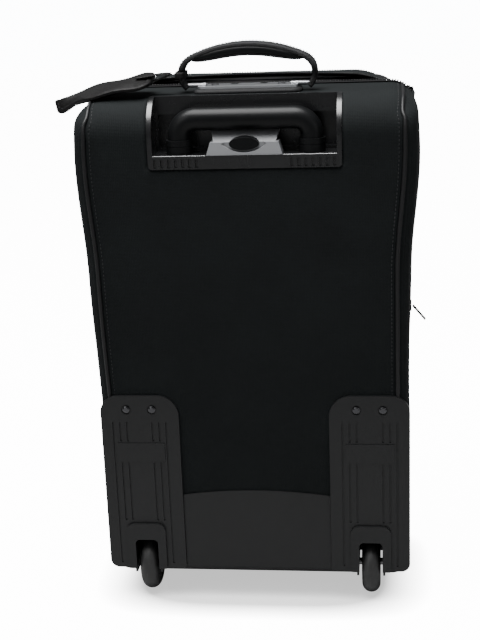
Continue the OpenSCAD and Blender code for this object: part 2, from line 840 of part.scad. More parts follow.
foot_y = seam_y + front_depth - 22;
module front_feet() {
  color([0.06, 0.06, 0.065])
  for (s = [-1, 1])
    along_x(s * wheel_x - 24, s * wheel_x + 24)
      polygon([[foot_y - 9, 0], [foot_y + 9, 0], [foot_y + 13, 4], [foot_y + 15, z_bottom + 2],
               [foot_y - 15, z_bottom + 2], [foot_y - 13, 4]]);
}

// ---------- inside ----------

module body_lining() {
  color([0.25, 0.25, 0.26])
  difference() {
    case_form(wall, seam_y - 3);
    case_form(wall + 1, seam_y + 5);
    well_cuts(snug + 0.5);
    box(-pan_x - 1, pan_x + 1, back_y, back_y + pan_depth + 4, pan_z - 1, z_top + 5);
    box(-tube_spacing / 2 - 20, tube_spacing / 2 + 20, back_y, back_y + wall + 1.5, tube_bottom - 12, pan_z + 6);
  }
}

strap_z = [z_bottom + 150, z_bottom + 340];
cover_y = tube_y + 15;
module packing_straps() {
  color([0.1, 0.1, 0.11])
  for (z = strap_z) box(-half_w + wall + 1.5, half_w - wall - 1.5, cover_y, cover_y + 1.5, z - 12.5, z + 12.5);
}

module strap_buckles() {
  color([0.05, 0.05, 0.055])
  for (z = strap_z)
    along_y(cover_y + 1.5, cover_y + 9) round_rect(-28, 28, z - 17, z + 17, [6, 6, 6, 6]);
}

// ---------- side handle ----------
side_y = back_y + 72;
side_z = z_bottom + body_h / 2;
side_half = 76;
side_bow = 16;
module side_handle() {
  r = (side_half * side_half + side_bow * side_bow) / (2 * side_bow);
  t = 3.5;
  color([0.08, 0.08, 0.085])
  translate([0, side_y + 12, 0]) rotate([90, 0, 0]) linear_extrude(24)
    intersection() {
      difference() {
        translate([-half_w - side_bow + r, side_z]) circle(r, $fn = 180);
        translate([-half_w - side_bow + r, side_z]) circle(r - t, $fn = 180);
      }
      translate([-half_w - side_bow - 5, side_z - side_half - 10]) square([side_bow + 5, 2 * side_half + 20]);
    }
}

module side_handle_anchors() {
  color([0.06, 0.06, 0.065])
  for (m = [-1, 1])
    along_x(-half_w - 4, -half_w)
      round_rect(side_y - 16, side_y + 16, side_z + m * (side_half + 15) - 14, side_z + m * (side_half + 15) + 14,
                 [6, 6, 6, 6]);
}

// ---------- zip sliders ----------

module slider_body(x, y, z) {
  box(x, x + 4, y - 5, y + 5, z - 6, z + 6);
}

slider_z = z_bottom + 285;
module expansion_slider() {
  color([0.35, 0.35, 0.36])
  box(half_w + 1.6, half_w + 5.6, seam_y - 6, seam_y - 0.6, slider_z - 6, slider_z + 6);
}

module expansion_pull() {
  color([0.08, 0.08, 0.085])
  translate([half_w + 7.2, seam_y - 3.3, slider_z]) rotate([0, -40, 0])
    box(-1, 1, -2.5, 2.5, -22, 0);
}

main_z = z_top - 60;
module main_slider() {
  color([0.35, 0.35, 0.36])
  box(-half_w - 3.4, -half_w + 1.6 - gap, seam_y + front_depth - 3, seam_y + front_depth + 3.6, main_z - 7, main_z + 7);
}

module main_pull() {
  color([0.08, 0.08, 0.085])
  box(-half_w - 6.2, -half_w - 3.8, seam_y + front_depth - 4, seam_y + front_depth + 4, main_z - 34, main_z + 4);
}

back_wrap();
side_panel(-1);  // side_panel_left
side_panel(1);  // side_panel_right
bottom_panel();
edge_piping();
kick_plate();
handle_pan();
latch_cover();
outer_tube(-1);  // outer_tube_left
outer_tube(1);  // outer_tube_right
tube_foot_bracket();
wheel_housing(-1);  // wheel_housing_left
wheel_housing(1);  // wheel_housing_right
wheel_insert(-1);  // wheel_insert_left
wheel_insert(1);  // wheel_insert_right
housing_screws();
axle(-1);  // axle_left
axle(1);  // axle_right
carry_handle_base();
carry_handle_plate();
carry_plate_screws();
expansion_chain_back();
expansion_bellows();
body_lining();
tube_cover();
packing_straps();
strap_buckles();
side_handle();
side_handle_anchors();
button_spring();
front_band();
frame_hoop();
expansion_chain_front();
main_chain_frame();
front_feet();
lid_panel();
main_chain_lid();
upper_pocket();
lower_pocket();
pocket_chains();
lid_lining();
mid_tube(-1);  // mid_tube_left
mid_tube(1);  // mid_tube_right
mid_collars();
inner_tube(-1);  // inner_tube_left
inner_tube(1);  // inner_tube_right
pull_grip();
release_button();
tyre(-1);  // tyre_left
hub_bearings(-1);  // hub_bearings_left
tyre(1);  // tyre_right
hub_bearings(1);  // hub_bearings_right
carry_strap();
tag_loop();
luggage_tag();
tag_strap();
expansion_slider();
expansion_pull();
main_slider();
main_pull();
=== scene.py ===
"""Softside upright suitcase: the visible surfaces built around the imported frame."""

import logging
import math
from dataclasses import dataclass
from enum import Enum
from typing import Callable, Sequence

import bpy
import bmesh
import numpy as np
from mathutils import Matrix, Vector

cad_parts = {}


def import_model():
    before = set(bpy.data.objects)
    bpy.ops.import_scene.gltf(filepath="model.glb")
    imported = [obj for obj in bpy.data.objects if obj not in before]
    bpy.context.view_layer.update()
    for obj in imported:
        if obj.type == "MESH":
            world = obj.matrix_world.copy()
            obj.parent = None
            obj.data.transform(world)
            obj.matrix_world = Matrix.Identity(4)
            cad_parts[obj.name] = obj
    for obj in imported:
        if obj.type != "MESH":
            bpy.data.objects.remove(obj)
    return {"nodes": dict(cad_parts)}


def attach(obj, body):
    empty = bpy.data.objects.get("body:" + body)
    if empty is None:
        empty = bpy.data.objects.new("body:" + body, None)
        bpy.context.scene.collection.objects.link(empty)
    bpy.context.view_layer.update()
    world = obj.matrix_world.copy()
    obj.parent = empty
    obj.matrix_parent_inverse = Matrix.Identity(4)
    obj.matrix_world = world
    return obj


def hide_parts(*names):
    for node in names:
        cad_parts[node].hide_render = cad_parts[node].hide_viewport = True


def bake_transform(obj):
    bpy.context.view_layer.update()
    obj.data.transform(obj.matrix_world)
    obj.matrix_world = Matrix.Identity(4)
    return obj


LOG = logging.getLogger("suitcase")
Array = np.ndarray


# ---------------------------------------------------------------- numbers

@dataclass(frozen=True)
class CaseSizes:
    """Main sizes of the case in metres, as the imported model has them."""

    half_w: float = 0.170
    z_bottom: float = 0.028
    z_top: float = 0.572
    back_y: float = -0.115
    seam_y: float = 0.015
    frame_y: float = 0.0154
    front_y: float = 0.075
    lid_y: float = 0.079
    side_x: float = 0.158
    top_r: float = 0.038
    bottom_r: float = 0.014
    lens_half: float = 0.143
    lens_depth: float = 0.045
    crest: float = 0.006
    well_in: float = 0.1118
    well_out: float = 0.1442
    well_front: float = 0.0667
    well_top: float = 0.0762
    pan_half: float = 0.1022
    pan_low: float = 0.5003
    pan_ledge: float = 0.534
    pan_lip: float = 0.0803
    sew_in: float = 0.001


SIZE = CaseSizes()
SIDES = ((-1, "left"), (1, "right"))
BULGE = 0.0085
CORNER_BULGE = 0.0055
WALL_T = 0.0034
BAND_T = 0.0032
LINING_T = 0.0006
GUSSET_T = 0.0007
BACK_CENTRE = (0, -0.03, 0.3)
SIDE_CENTRE = (0, -0.05, 0.3)
FRONT_CENTRE = (0, 0.04, 0.3)
BLACK, WHITE = (0, 0, 0), (1, 1, 1)


def arc(cy: float, cz: float, r: float, a0: float, a1: float, n: int) -> Array:
    """Points (n, 2) on a circle of radius r about (cy, cz), from angle a0 to a1 in degrees."""
    a = np.radians(np.linspace(a0, a1, n))
    return np.stack([cy + r * np.cos(a), cz + r * np.sin(a)], axis=1)


def resample(path: Array, stations: Array) -> Array:
    """Points of a polyline at given distances along it, by linear interpolation of each coordinate."""
    step = np.linalg.norm(np.diff(path, axis=0), axis=1)
    s = np.concatenate([[0.0], np.cumsum(step)])
    return np.stack([np.interp(stations, s, path[:, k]) for k in range(path.shape[1])], axis=1)


def length_of(path: Array) -> float:
    """Length of a polyline."""
    return float(np.linalg.norm(np.diff(path, axis=0), axis=1).sum())


def with_breaks(marks: Sequence[float], step: float) -> Array:
    """Sorted stations that hold every mark and are never further apart than step."""
    out = [np.array([marks[0]])]
    for a, b in zip(marks[:-1], marks[1:]):
        n = max(1, int(math.ceil((b - a) / step)))
        out.append(np.linspace(a, b, n + 1)[1:])
    return np.concatenate(out)


def ripple(p: Array, wave: float, seed: int, count: int = 7) -> Array:
    """Smooth noise in -1..1: the mean of sine waves of about the given length in seeded directions."""
    rng = np.random.default_rng(seed)
    d = rng.normal(size=(count, 3))
    d /= np.linalg.norm(d, axis=1)[:, None]
    k = 2 * math.pi / (wave * rng.uniform(0.6, 1.6, count))
    ph = rng.uniform(0, 2 * math.pi, count)
    return np.sin(p @ (d * k[:, None]).T + ph).mean(axis=-1) * 1.8


def bell(x: Array, lo: float, hi: float) -> Array:
    """Half a sine between lo and hi, zero outside."""
    t = np.clip((x - lo) / (hi - lo), 0, 1)
    return np.sin(math.pi * t)


def smooth(x: Array, lo: float, hi: float) -> Array:
    """Smoothstep from 0 at lo to 1 at hi."""
    t = np.clip((x - lo) / (hi - lo), 0, 1)
    return t * t * (3 - 2 * t)


def at_depth(o: Array, y: Array | float) -> Array:
    """An outline's points (n, 3), drawn in X and Z, at one depth or at a depth each."""
    return np.column_stack([o[:, 0], np.broadcast_to(y, len(o)), o[:, 1]])


# ---------------------------------------------------------------- meshes

def spread(p: Array) -> Array:
    """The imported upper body's extra width.

    A point moves straight outward by up to 8.5 mm. The share is a smooth step over its distance from
    the centre plane, times one over its height, times one that fades to nothing at the front frame.
    The left back corner is stuffed fuller: up to 5.5 mm more, as a bell over its height.
    """
    q = p.copy()
    share = smooth(np.abs(p[..., 0]), 0.105, 0.158) * smooth(p[..., 2], 0.385, 0.520)
    fade = 1 - smooth(p[..., 1], 0.022, 0.072)
    q[..., 0] += np.sign(p[..., 0]) * BULGE * share * fade
    corner = smooth(-p[..., 0], 0.105, 0.158) * (1 - smooth(p[..., 1], -0.088, -0.062))
    q[..., 0] -= CORNER_BULGE * corner * bell(p[..., 2], 0.20, 0.60)
    return q


def grid_faces(nu: int, nv: int, wrap_u: bool, wrap_v: bool, keep: Array | None) -> Array:
    """Quads (m, 4) of a grid, with either direction closed and only the cells kept by the mask."""
    iu = np.arange(nu if wrap_u else nu - 1)
    iv = np.arange(nv if wrap_v else nv - 1)
    a, b = np.meshgrid(iu, iv, indexing="ij")
    a2, b2 = (a + 1) % nu, (b + 1) % nv
    quads = np.stack([a * nv + b, a2 * nv + b, a2 * nv + b2, a * nv + b2], axis=-1)
    if keep is not None:
        quads = quads[keep]
    return quads.reshape(-1, 4)


def new_object(name: str, verts: Array, faces: Array, uv: Array | None = None,
               caps: Sequence[Sequence[int]] = ()) -> bpy.types.Object:
    """A mesh object at the origin.

    Args:
        name: the piece's name.
        verts: points (n, 3) in metres.
        faces: quads (m, 4).
        uv: one coordinate pair per vertex, in metres along the cloth.
        caps: extra polygons that close the piece.

    Returns:
        The object, smooth shaded.
    """
    mesh = bpy.data.meshes.new(name)
    polys = faces.tolist() + [list(c) for c in caps]
    mesh.from_pydata(verts.tolist(), [], polys)
    if uv is not None:
        layer = mesh.uv_layers.new(name="cloth")
        index = np.empty(len(mesh.loops), dtype=np.int64)
        mesh.loops.foreach_get("vertex_index", index)
        layer.data.foreach_set("uv", uv[index].astype(np.float32).ravel())
    mesh.polygons.foreach_set("use_smooth", [True] * len(mesh.polygons))
    mesh.update()
    obj = bpy.data.objects.new(name, mesh)
    bpy.context.scene.collection.objects.link(obj)
    return obj


def clean(obj: bpy.types.Object, closed: bool, centre: Sequence[float] | None = None) -> None:
    """Drops loose points and turns the faces outwards.

    Args:
        obj: the piece.
        closed: whether the mesh is a closed skin.
        centre: for an open skin, a point on its inner side.
    """
    bm = bmesh.new()
    bm.from_mesh(obj.data)
    loose = [v for v in bm.verts if not v.link_faces]
    bmesh.ops.delete(bm, geom=loose, context="VERTS")
    if closed:
        bmesh.ops.remove_doubles(bm, verts=bm.verts, dist=1e-6)
        bmesh.ops.recalc_face_normals(bm, faces=bm.faces)
    elif centre is not None:
        c = Vector(centre)
        total = sum(f.normal.dot(f.calc_center_median() - c) * f.calc_area() for f in bm.faces)
        if total < 0:
            bmesh.ops.reverse_faces(bm, faces=bm.faces)
    bm.to_mesh(obj.data)
    bm.free()


def ring_stack(name: str, p: Array, uv: Array) -> bpy.types.Object:
    """A closed solid from a stack of closed rings (rings, points, 3), capped at both ends."""
    nu, nv = p.shape[:2]
    obj = new_object(name, p.reshape(-1, 3), grid_faces(nu, nv, False, True, None), uv.reshape(-1, 2),
                     [range(nv), range((nu - 1) * nv, nu * nv)])
    clean(obj, True)
    return obj


def skin(name: str, p: Array, uv: Array, thick: float, centre: Sequence[float], keep: Array | None = None,
         wrap_u: bool = False) -> bpy.types.Object:
    """An open cloth skin from a grid of points, thickened inwards by a Solidify modifier."""
    nu, nv = p.shape[:2]
    obj = new_object(name, p.reshape(-1, 3), grid_faces(nu, nv, wrap_u, False, keep), uv.reshape(-1, 2))
    clean(obj, False, centre)
    mod = obj.modifiers.new("thickness", "SOLIDIFY")
    mod.thickness, mod.offset, mod.use_even_offset = thick, -1, False
    return obj


def sweep(name: str, path: Array, section: Callable[[Array], Array], up: Array,
          closed: bool = False) -> bpy.types.Object:
    """A closed solid made by carrying a section along a path.

    Args:
        name: the piece's name.
        path: points (n, 3).
        section: takes the path fraction (n,) and gives offsets (n, sides, 2) along side and up.
        up: one direction, or one per point, that the section's second axis follows.
        closed: whether the path is a loop.

    Returns:
        The object, with its UV map in metres along and round the path.
    """
    n = len(path)
    if closed:
        t = np.roll(path, -1, axis=0) - np.roll(path, 1, axis=0)
    else:
        t = np.gradient(path, axis=0)
    t /= np.linalg.norm(t, axis=1)[:, None] + 1e-12
    u = np.broadcast_to(np.asarray(up, dtype=float), (n, 3)).copy()
    u -= (u * t).sum(1)[:, None] * t
    u /= np.linalg.norm(u, axis=1)[:, None] + 1e-12
    side = np.cross(t, u)
    f = np.linspace(0, 1, n)
    off = section(f)
    sides = off.shape[1]
    p = path[:, None, :] + off[..., :1] * side[:, None, :] + off[..., 1:] * u[:, None, :]
    dist = np.concatenate([[0.0], np.cumsum(np.linalg.norm(np.diff(path, axis=0), axis=1))])
    ring = np.concatenate([[0.0], np.cumsum(np.linalg.norm(np.diff(off[n // 2], axis=0), axis=1))])
    uv = np.stack(np.broadcast_arrays(ring[None, :], dist[:, None]), axis=-1)
    caps = [] if closed else [range(sides), range((n - 1) * sides, n * sides)]
    obj = new_object(name, p.reshape(-1, 3), grid_faces(n, sides, closed, True, None),
                     uv.reshape(-1, 2), caps)
    clean(obj, True)
    return obj


def round_section(radius: float, sides: int = 12) -> Callable[[Array], Array]:
    """Section function of a round rod."""
    a = 2 * math.pi * np.arange(sides) / sides
    ring = np.stack([radius * np.cos(a), radius * np.sin(a)], axis=-1)
    return lambda f: np.broadcast_to(ring, (len(f), sides, 2))


def flat_section(width: Array | float, thick: Array | float, sides: int = 20,
                 power: float = 5.0) -> Callable[[Array], Array]:
    """Section function of a strap: a superellipse |x/a|^p + |y/b|^p = 1, whose size may follow the path."""
    a = 2 * math.pi * (np.arange(sides) + 0.5) / sides
    c = np.sign(np.cos(a)) * np.abs(np.cos(a)) ** (2 / power)
    s = np.sign(np.sin(a)) * np.abs(np.sin(a)) ** (2 / power)

    def section(f: Array) -> Array:
        """Offsets at each path fraction."""
        w = np.broadcast_to(width, f.shape)[:, None]
        t = np.broadcast_to(thick, f.shape)[:, None]
        return np.stack([w / 2 * c[None], t / 2 * s[None]], axis=-1)
    return section


def beads(name: str, centres: Array, along: Array, out: Array, size: Sequence[float],
          rings: int = 3, sides: int = 6) -> bpy.types.Object:
    """Many small rounded beads as one mesh, for zipper teeth and stitches.

    Each bead is an ellipsoid cut into a few rings: its long axis lies across or along the row.

    Args:
        name: the piece's name.
        centres: bead centres (n, 3).
        along: direction of each bead's first axis (n, 3).
        out: outward direction of each bead (n, 3).
        size: half sizes along the first axis, across, and outwards.
        rings: inner rings between the two poles.
        sides: points in a ring.

    Returns:
        The object.
    """
    n = len(centres)
    along = along / (np.linalg.norm(along, axis=1)[:, None] + 1e-12)
    out = out - (out * along).sum(1)[:, None] * along
    out /= np.linalg.norm(out, axis=1)[:, None] + 1e-12
    across = np.cross(along, out)
    th = math.pi * (np.arange(rings) + 1) / (rings + 1)
    ph = 2 * math.pi * np.arange(sides) / sides
    a = np.concatenate([[1.0], np.repeat(np.cos(th), sides), [-1.0]])
    r = np.concatenate([[0.0], np.repeat(np.sin(th), sides), [0.0]])
    q = np.concatenate([[0.0], np.tile(ph, rings), [0.0]])
    local = np.stack([a * size[0], r * np.cos(q) * size[1], r * np.sin(q) * size[2]], axis=1)
    p = (centres[:, None] + local[None, :, :1] * along[:, None] + local[None, :, 1:2] * across[:, None]
         + local[None, :, 2:] * out[:, None])
    m = len(local)
    quads, tris = [], []
    for k in range(sides):
        j = (k + 1) % sides
        tris.append([0, 1 + k, 1 + j])
        tris.append([m - 1, 1 + (rings - 1) * sides + j, 1 + (rings - 1) * sides + k])
        for i in range(rings - 1):
            here, there = 1 + i * sides, 1 + (i + 1) * sides
            quads.append([here + k, there + k, there + j, here + j])
    base = np.arange(n)[:, None, None] * m
    q_all = (np.array(quads)[None] + base).reshape(-1, 4)
    t_all = (np.array(tris)[None] + base).reshape(-1, 3)
    obj = new_object(name, p.reshape(-1, 3), q_all, None, t_all.tolist())
    bm = bmesh.new()
    bm.from_mesh(obj.data)
    bmesh.ops.recalc_face_normals(bm, faces=bm.faces)
    bm.to_mesh(obj.data)
    bm.free()
    return obj


def row_of(path: Array, pitch: float, closed: bool = False) -> tuple[Array, Array]:
    """Evenly spaced points on a path and the path's direction at each."""
    if closed:
        path = np.concatenate([path, path[:1]])
    total = length_of(path)
    n = max(2, int(total / pitch))
    s = np.linspace(0, total, n, endpoint=not closed)
    p = resample(path, s)
    q = resample(path, np.minimum(s + 0.0008, total))
    r = resample(path, np.maximum(s - 0.0008, 0))
    return p, q - r


def join_rows(rows: Sequence[tuple[Array, Array]]) -> tuple[Array, Array]:
    """Several rows as one: their points and their directions."""
    return np.concatenate([r[0] for r in rows]), np.concatenate([r[1] for r in rows])


# ---------------------------------------------------------------- finishes

class Tree:
    """A small helper that adds and links shader nodes."""

    def __init__(self, tree: bpy.types.NodeTree) -> None:
        """Keeps the tree."""
        self.tree = tree

    def add(self, kind: str, **props: object) -> bpy.types.Node:
        """A new node with its properties set."""
        node = self.tree.nodes.new(kind)
        for key, value in props.items():
            setattr(node, key, value)
        return node

    def link(self, a: bpy.types.NodeSocket, b: bpy.types.NodeSocket) -> None:
        """Joins two sockets."""
        self.tree.links.new(a, b)

    def math(self, op: str, a: object, b: object = None, clamp: bool = False) -> bpy.types.NodeSocket:
        """A Math node fed by sockets or numbers."""
        node = self.add("ShaderNodeMath", operation=op, use_clamp=clamp)
        for i, v in enumerate((a, b)):
            if isinstance(v, bpy.types.NodeSocket):
                self.link(v, node.inputs[i])
            elif v is not None:
                node.inputs[i].default_value = v
        return node.outputs[0]

    def noise(self, at: bpy.types.NodeSocket, scale: float, detail: float,
              **more: float) -> bpy.types.NodeSocket:
        """A noise texture's value at the given coordinates."""
        node = self.add("ShaderNodeTexNoise")
        for key, value in {"Scale": scale, "Detail": detail, **more}.items():
            node.inputs[key].default_value = value
        self.link(at, node.inputs["Vector"])
        return node.outputs[0]

    def ramp(self, fac: bpy.types.NodeSocket,
             stops: Sequence[tuple[float, tuple[float, ...]]]) -> bpy.types.NodeSocket:
        """A colour ramp with the given stops."""
        node = self.add("ShaderNodeValToRGB")
        els = node.color_ramp.elements
        while len(els) < len(stops):
            els.new(0.5)
        for el, (pos, col) in zip(els, stops):
            el.position = pos
            el.color = (*col[:3], 1)
        self.link(fac, node.inputs[0])
        return node.outputs[0]


def open_group(name: str, inputs: dict[str, str],
               outputs: Sequence[str]) -> tuple[Tree, bpy.types.Node, bpy.types.Node]:
    """A new shader node group: its tree, its input node and its output node, whose sockets are floats."""
    g = bpy.data.node_groups.new(name, "ShaderNodeTree")
    for key, kind in inputs.items():
        g.interface.new_socket(key, in_out="INPUT", socket_type=f"NodeSocket{kind}")
    for key in outputs:
        g.interface.new_socket(key, in_out="OUTPUT", socket_type="NodeSocketFloat")
    t = Tree(g)
    return t, t.add("NodeGroupInput"), t.add("NodeGroupOutput")


def weave_group() -> bpy.types.NodeTree:
    """Node group: a basket weave in the piece's own cloth coordinates.

    Threads run both ways. The height is |sin| of one direction or the other, chosen by a checker of
    the two, so warp and weft pass over each other. Slow noise makes single threads a little lighter.
    """
    t, i, o = open_group("cloth_weave", {"Coordinates": "Vector", "Pitch": "Float"}, ("Height", "Thread"))
    sep = t.add("ShaderNodeSeparateXYZ")
    t.link(i.outputs[0], sep.inputs[0])
    u = t.math("DIVIDE", sep.outputs[0], i.outputs[1])
    v = t.math("DIVIDE", sep.outputs[1], i.outputs[1])
    su = t.math("SINE", t.math("MULTIPLY", u, math.pi))
    sv = t.math("SINE", t.math("MULTIPLY", v, math.pi))
    over = t.math("GREATER_THAN", t.math("MULTIPLY", su, sv), 0.0)
    au, av = t.math("ABSOLUTE", su), t.math("ABSOLUTE", sv)
    a = t.math("MULTIPLY", over, t.math("MULTIPLY", au, t.math("ADD", t.math("MULTIPLY", av, 0.5), 0.5)))
    under = t.math("SUBTRACT", 1.0, over)
    b = t.math("MULTIPLY", under, t.math("MULTIPLY", av, t.math("ADD", t.math("MULTIPLY", au, 0.35), 0.45)))
    t.link(t.math("ADD", a, b), o.inputs[0])
    t.link(t.noise(i.outputs[0], 900.0, 2.0), o.inputs[1])
    return t.tree


def wear_group() -> bpy.types.NodeTree:
    """Node group: dust, scuffs and fine scratches, from noise at three scales on Object coordinates."""
    t, i, o = open_group("handling_wear", {"Coordinates": "Vector"}, ("Dust", "Scuffs", "Scratches"))
    dust = t.noise(i.outputs[0], 14.0, 6.0)
    t.link(t.ramp(dust, [(0.38, BLACK), (0.72, WHITE)]), o.inputs[0])
    scuff = t.noise(i.outputs[0], 55.0, 8.0, Roughness=0.7)
    t.link(t.ramp(scuff, [(0.58, BLACK), (0.68, WHITE)]), o.inputs[1])
    place = t.add("ShaderNodeMapping")
    place.inputs["Scale"].default_value = (900.0, 60.0, 60.0)
    place.inputs["Rotation"].default_value = (0.3, 0.9, 0.5)
    t.link(i.outputs[0], place.inputs[0])
    line = t.noise(place.outputs[0], 1.0, 3.0)
    t.link(t.ramp(line, [(0.66, BLACK), (0.72, WHITE)]), o.inputs[2])
    return t.tree


class Coat(Enum):
    """Kinds of surface that share one recipe."""

    CLOTH = "cloth"
    MOULDED = "moulded"
    METAL = "metal"
    LEATHER = "leather"
    RUBBER = "rubber"


@dataclass(frozen=True)
class Finish:
    """One finish: its recipe and its own values."""

    name: str
    coat: Coat
    color: tuple[float, float, float]
    light: tuple[float, float, float]
    rough: float = 0.6
    pitch: float = 0.0015
    bump: float = 0.35
    sheen: float = 0.0
    specular: float = 0.5
    grain: float = 900.0
    scuffs: float = 0.0

    def build(self, weave: bpy.types.NodeTree, wear: bpy.types.NodeTree) -> bpy.types.Material:
        """Makes the material from node groups and its own Principled shader.

        Args:
            weave: the weave group.
            wear: the wear group.

        Returns:
            The material.
        """
        mat = bpy.data.materials.new(self.name)
        mat.use_nodes = True
        mat.diffuse_color = (*self.color, 1)
        t = Tree(mat.node_tree)
        mat.node_tree.nodes.clear()
        shader, out = t.add("ShaderNodeBsdfPrincipled"), t.add("ShaderNodeOutputMaterial")
        t.link(shader.outputs[0], out.inputs[0])
        coords = t.add("ShaderNodeTexCoord")
        worn = t.add("ShaderNodeGroup", node_tree=wear)
        t.link(coords.outputs["Object"], worn.inputs[0])
        base = t.add("ShaderNodeMix", data_type="RGBA")
        base.inputs["A"].default_value = (*self.color, 1)
        base.inputs["B"].default_value = (*self.light, 1)
        bump = t.add("ShaderNodeBump")
        bump.inputs["Strength"].default_value = self.bump
        bump.inputs["Distance"].default_value = 0.0004
        if self.coat is Coat.CLOTH:
            cloth = t.add("ShaderNodeGroup", node_tree=weave)
            cloth.inputs["Pitch"].default_value = self.pitch
            t.link(coords.outputs["UV"], cloth.inputs[0])
            thread = t.math("MULTIPLY", cloth.outputs["Thread"], cloth.outputs["Height"])
            patch = t.math("MULTIPLY", worn.outputs["Dust"], 0.16)
            t.link(t.math("ADD", t.math("MULTIPLY", thread, 0.9), patch, True), base.inputs["Factor"])
            t.link(cloth.outputs["Height"], bump.inputs["Height"])
            shader.inputs["Roughness"].default_value = self.rough
            shader.inputs["Sheen Weight"].default_value = self.sheen
            shader.inputs["Sheen Roughness"].default_value = 0.45
        else:
            grain = t.add("ShaderNodeTexNoise" if self.coat is not Coat.LEATHER else "ShaderNodeTexVoronoi")
            grain.inputs["Scale"].default_value = self.grain
            t.link(coords.outputs["Object"], grain.inputs["Vector"])
            t.link(grain.outputs[0], bump.inputs["Height"])
            mask = t.math("ADD", t.math("MULTIPLY", worn.outputs["Dust"], 0.10),
                          t.math("MULTIPLY", t.math("ADD", worn.outputs["Scuffs"], worn.outputs["Scratches"]),
                                 self.scuffs), True)
            t.link(mask, base.inputs["Factor"])
            rough = t.math("ADD", t.math("MULTIPLY", mask, 0.25), self.rough, True)
            t.link(rough, shader.inputs["Roughness"])
            if self.coat is Coat.METAL:
                shader.inputs["Metallic"].default_value = 1.0
        shader.inputs["Specular IOR Level"].default_value = self.specular
        t.link(base.outputs["Result"], shader.inputs["Base Color"])
        t.link(bump.outputs[0], shader.inputs["Normal"])
        return mat


FINISHES: dict[str, Finish] = {f.name: f for f in (
    Finish("ballistic_cloth", Coat.CLOTH, (0.0017, 0.0022, 0.0024), (0.0085, 0.0108, 0.0112),
           0.8, 0.0015, 0.6, 0.006, 0.09),
    Finish("side_cloth", Coat.CLOTH, (0.0017, 0.0022, 0.0024), (0.0088, 0.0112, 0.0116),
           0.8, 0.0015, 0.6, 0.006, 0.09),
    Finish("base_cloth", Coat.CLOTH, (0.0035, 0.0035, 0.0038), (0.01, 0.01, 0.011),
           0.65, 0.0012, 0.4, 0.0, 0.2),
    Finish("webbing", Coat.CLOTH, (0.004, 0.004, 0.0044), (0.016, 0.0165, 0.0175),
           0.7, 0.0022, 0.8, 0.01, 0.2),
    Finish("gusset_cloth", Coat.CLOTH, (0.0018, 0.0018, 0.002), (0.005, 0.005, 0.0055),
           0.85, 0.001, 0.4, 0.0, 0.08),
    Finish("zip_tape", Coat.CLOTH, (0.0022, 0.0022, 0.0025), (0.008, 0.008, 0.0086),
           0.8, 0.0009, 0.5, 0.0, 0.12),
    Finish("lining_cloth", Coat.CLOTH, (0.09, 0.092, 0.096), (0.17, 0.172, 0.178),
           0.75, 0.0008, 0.3, 0.1, 0.3),
    Finish("thread", Coat.CLOTH, (0.009, 0.009, 0.01), (0.028, 0.028, 0.029),
           0.6, 0.0004, 0.3, 0.0, 0.3),
    Finish("piping_vinyl", Coat.RUBBER, (0.0030, 0.0031, 0.0034), (0.010, 0.010, 0.011),
           0.5, 0, 0.12, 0, 0.22, 700, 0.12),
    Finish("zip_nylon", Coat.MOULDED, (0.003, 0.003, 0.0034), (0.012, 0.012, 0.013),
           0.34, 0, 0.1, 0, 0.35, 600, 0.06),
    Finish("pan_gloss", Coat.MOULDED, (0.0030, 0.0031, 0.0034), (0.010, 0.0102, 0.0108),
           0.26, 0, 0.05, 0, 0.5, 500, 0.08),
    # pan_lip: pale grey and glossy, a painted highlight along the handle pan's ledge and lower rim edges
    Finish("pan_lip", Coat.MOULDED, (0.10, 0.102, 0.105), (0.14, 0.142, 0.146),
           0.22, 0, 0.05, 0, 0.7, 500, 0.1),
    Finish("grip_gloss", Coat.MOULDED, (0.0028, 0.0030, 0.0032), (0.009, 0.0092, 0.0097),
           0.36, 0, 0.1, 0, 0.10, 700, 0.06),
    Finish("latch_satin", Coat.MOULDED, (0.115, 0.118, 0.123), (0.16, 0.162, 0.167),
           0.45, 0, 0.12, 0, 0.5, 1500, 0.08),
    Finish("housing_satin", Coat.MOULDED, (0.0030, 0.0032, 0.0034), (0.011, 0.0113, 0.0118),
           0.40, 0, 0.34, 0, 0.24, 1800, 0.1),
    Finish("kick_satin", Coat.MOULDED, (0.0036, 0.0038, 0.0040), (0.013, 0.0133, 0.0138),
           0.48, 0, 0.32, 0, 0.24, 1600, 0.1),
    Finish("plate_grey", Coat.METAL, (0.55, 0.56, 0.58), (0.68, 0.69, 0.70),
           0.42, 0, 0.08, 0, 0.5, 900, 0.2),
    Finish("tube_metal", Coat.METAL, (0.42, 0.42, 0.43), (0.55, 0.55, 0.56),
           0.28, 0, 0.05, 0, 0.5, 1200, 0.15),
    Finish("screw_metal", Coat.METAL, (0.2, 0.2, 0.205), (0.4, 0.4, 0.4),
           0.36, 0, 0.05, 0, 0.5, 1200, 0.2),
    Finish("screw_black", Coat.METAL, (0.045, 0.045, 0.048), (0.10, 0.10, 0.102),
           0.24, 0, 0.06, 0, 0.5, 1200, 0.2),
    Finish("slider_enamel", Coat.METAL, (0.05, 0.05, 0.052), (0.2, 0.2, 0.2),
           0.35, 0, 0.05, 0, 0.5, 900, 0.2),
    Finish("tyre_urethane", Coat.RUBBER, (0.006, 0.006, 0.0062), (0.055, 0.054, 0.052),
           0.5, 0, 0.3, 0, 0.35, 800, 0.35),
    Finish("hub_plastic", Coat.MOULDED, (0.014, 0.014, 0.014), (0.05, 0.05, 0.05),
           0.45, 0, 0.1, 0, 0.4, 900, 0.2),
    Finish("tag_leather", Coat.LEATHER, (0.0020, 0.0019, 0.0019), (0.006, 0.0056, 0.0054),
           0.48, 0, 0.9, 0, 0.14, 950, 0.05),
)}


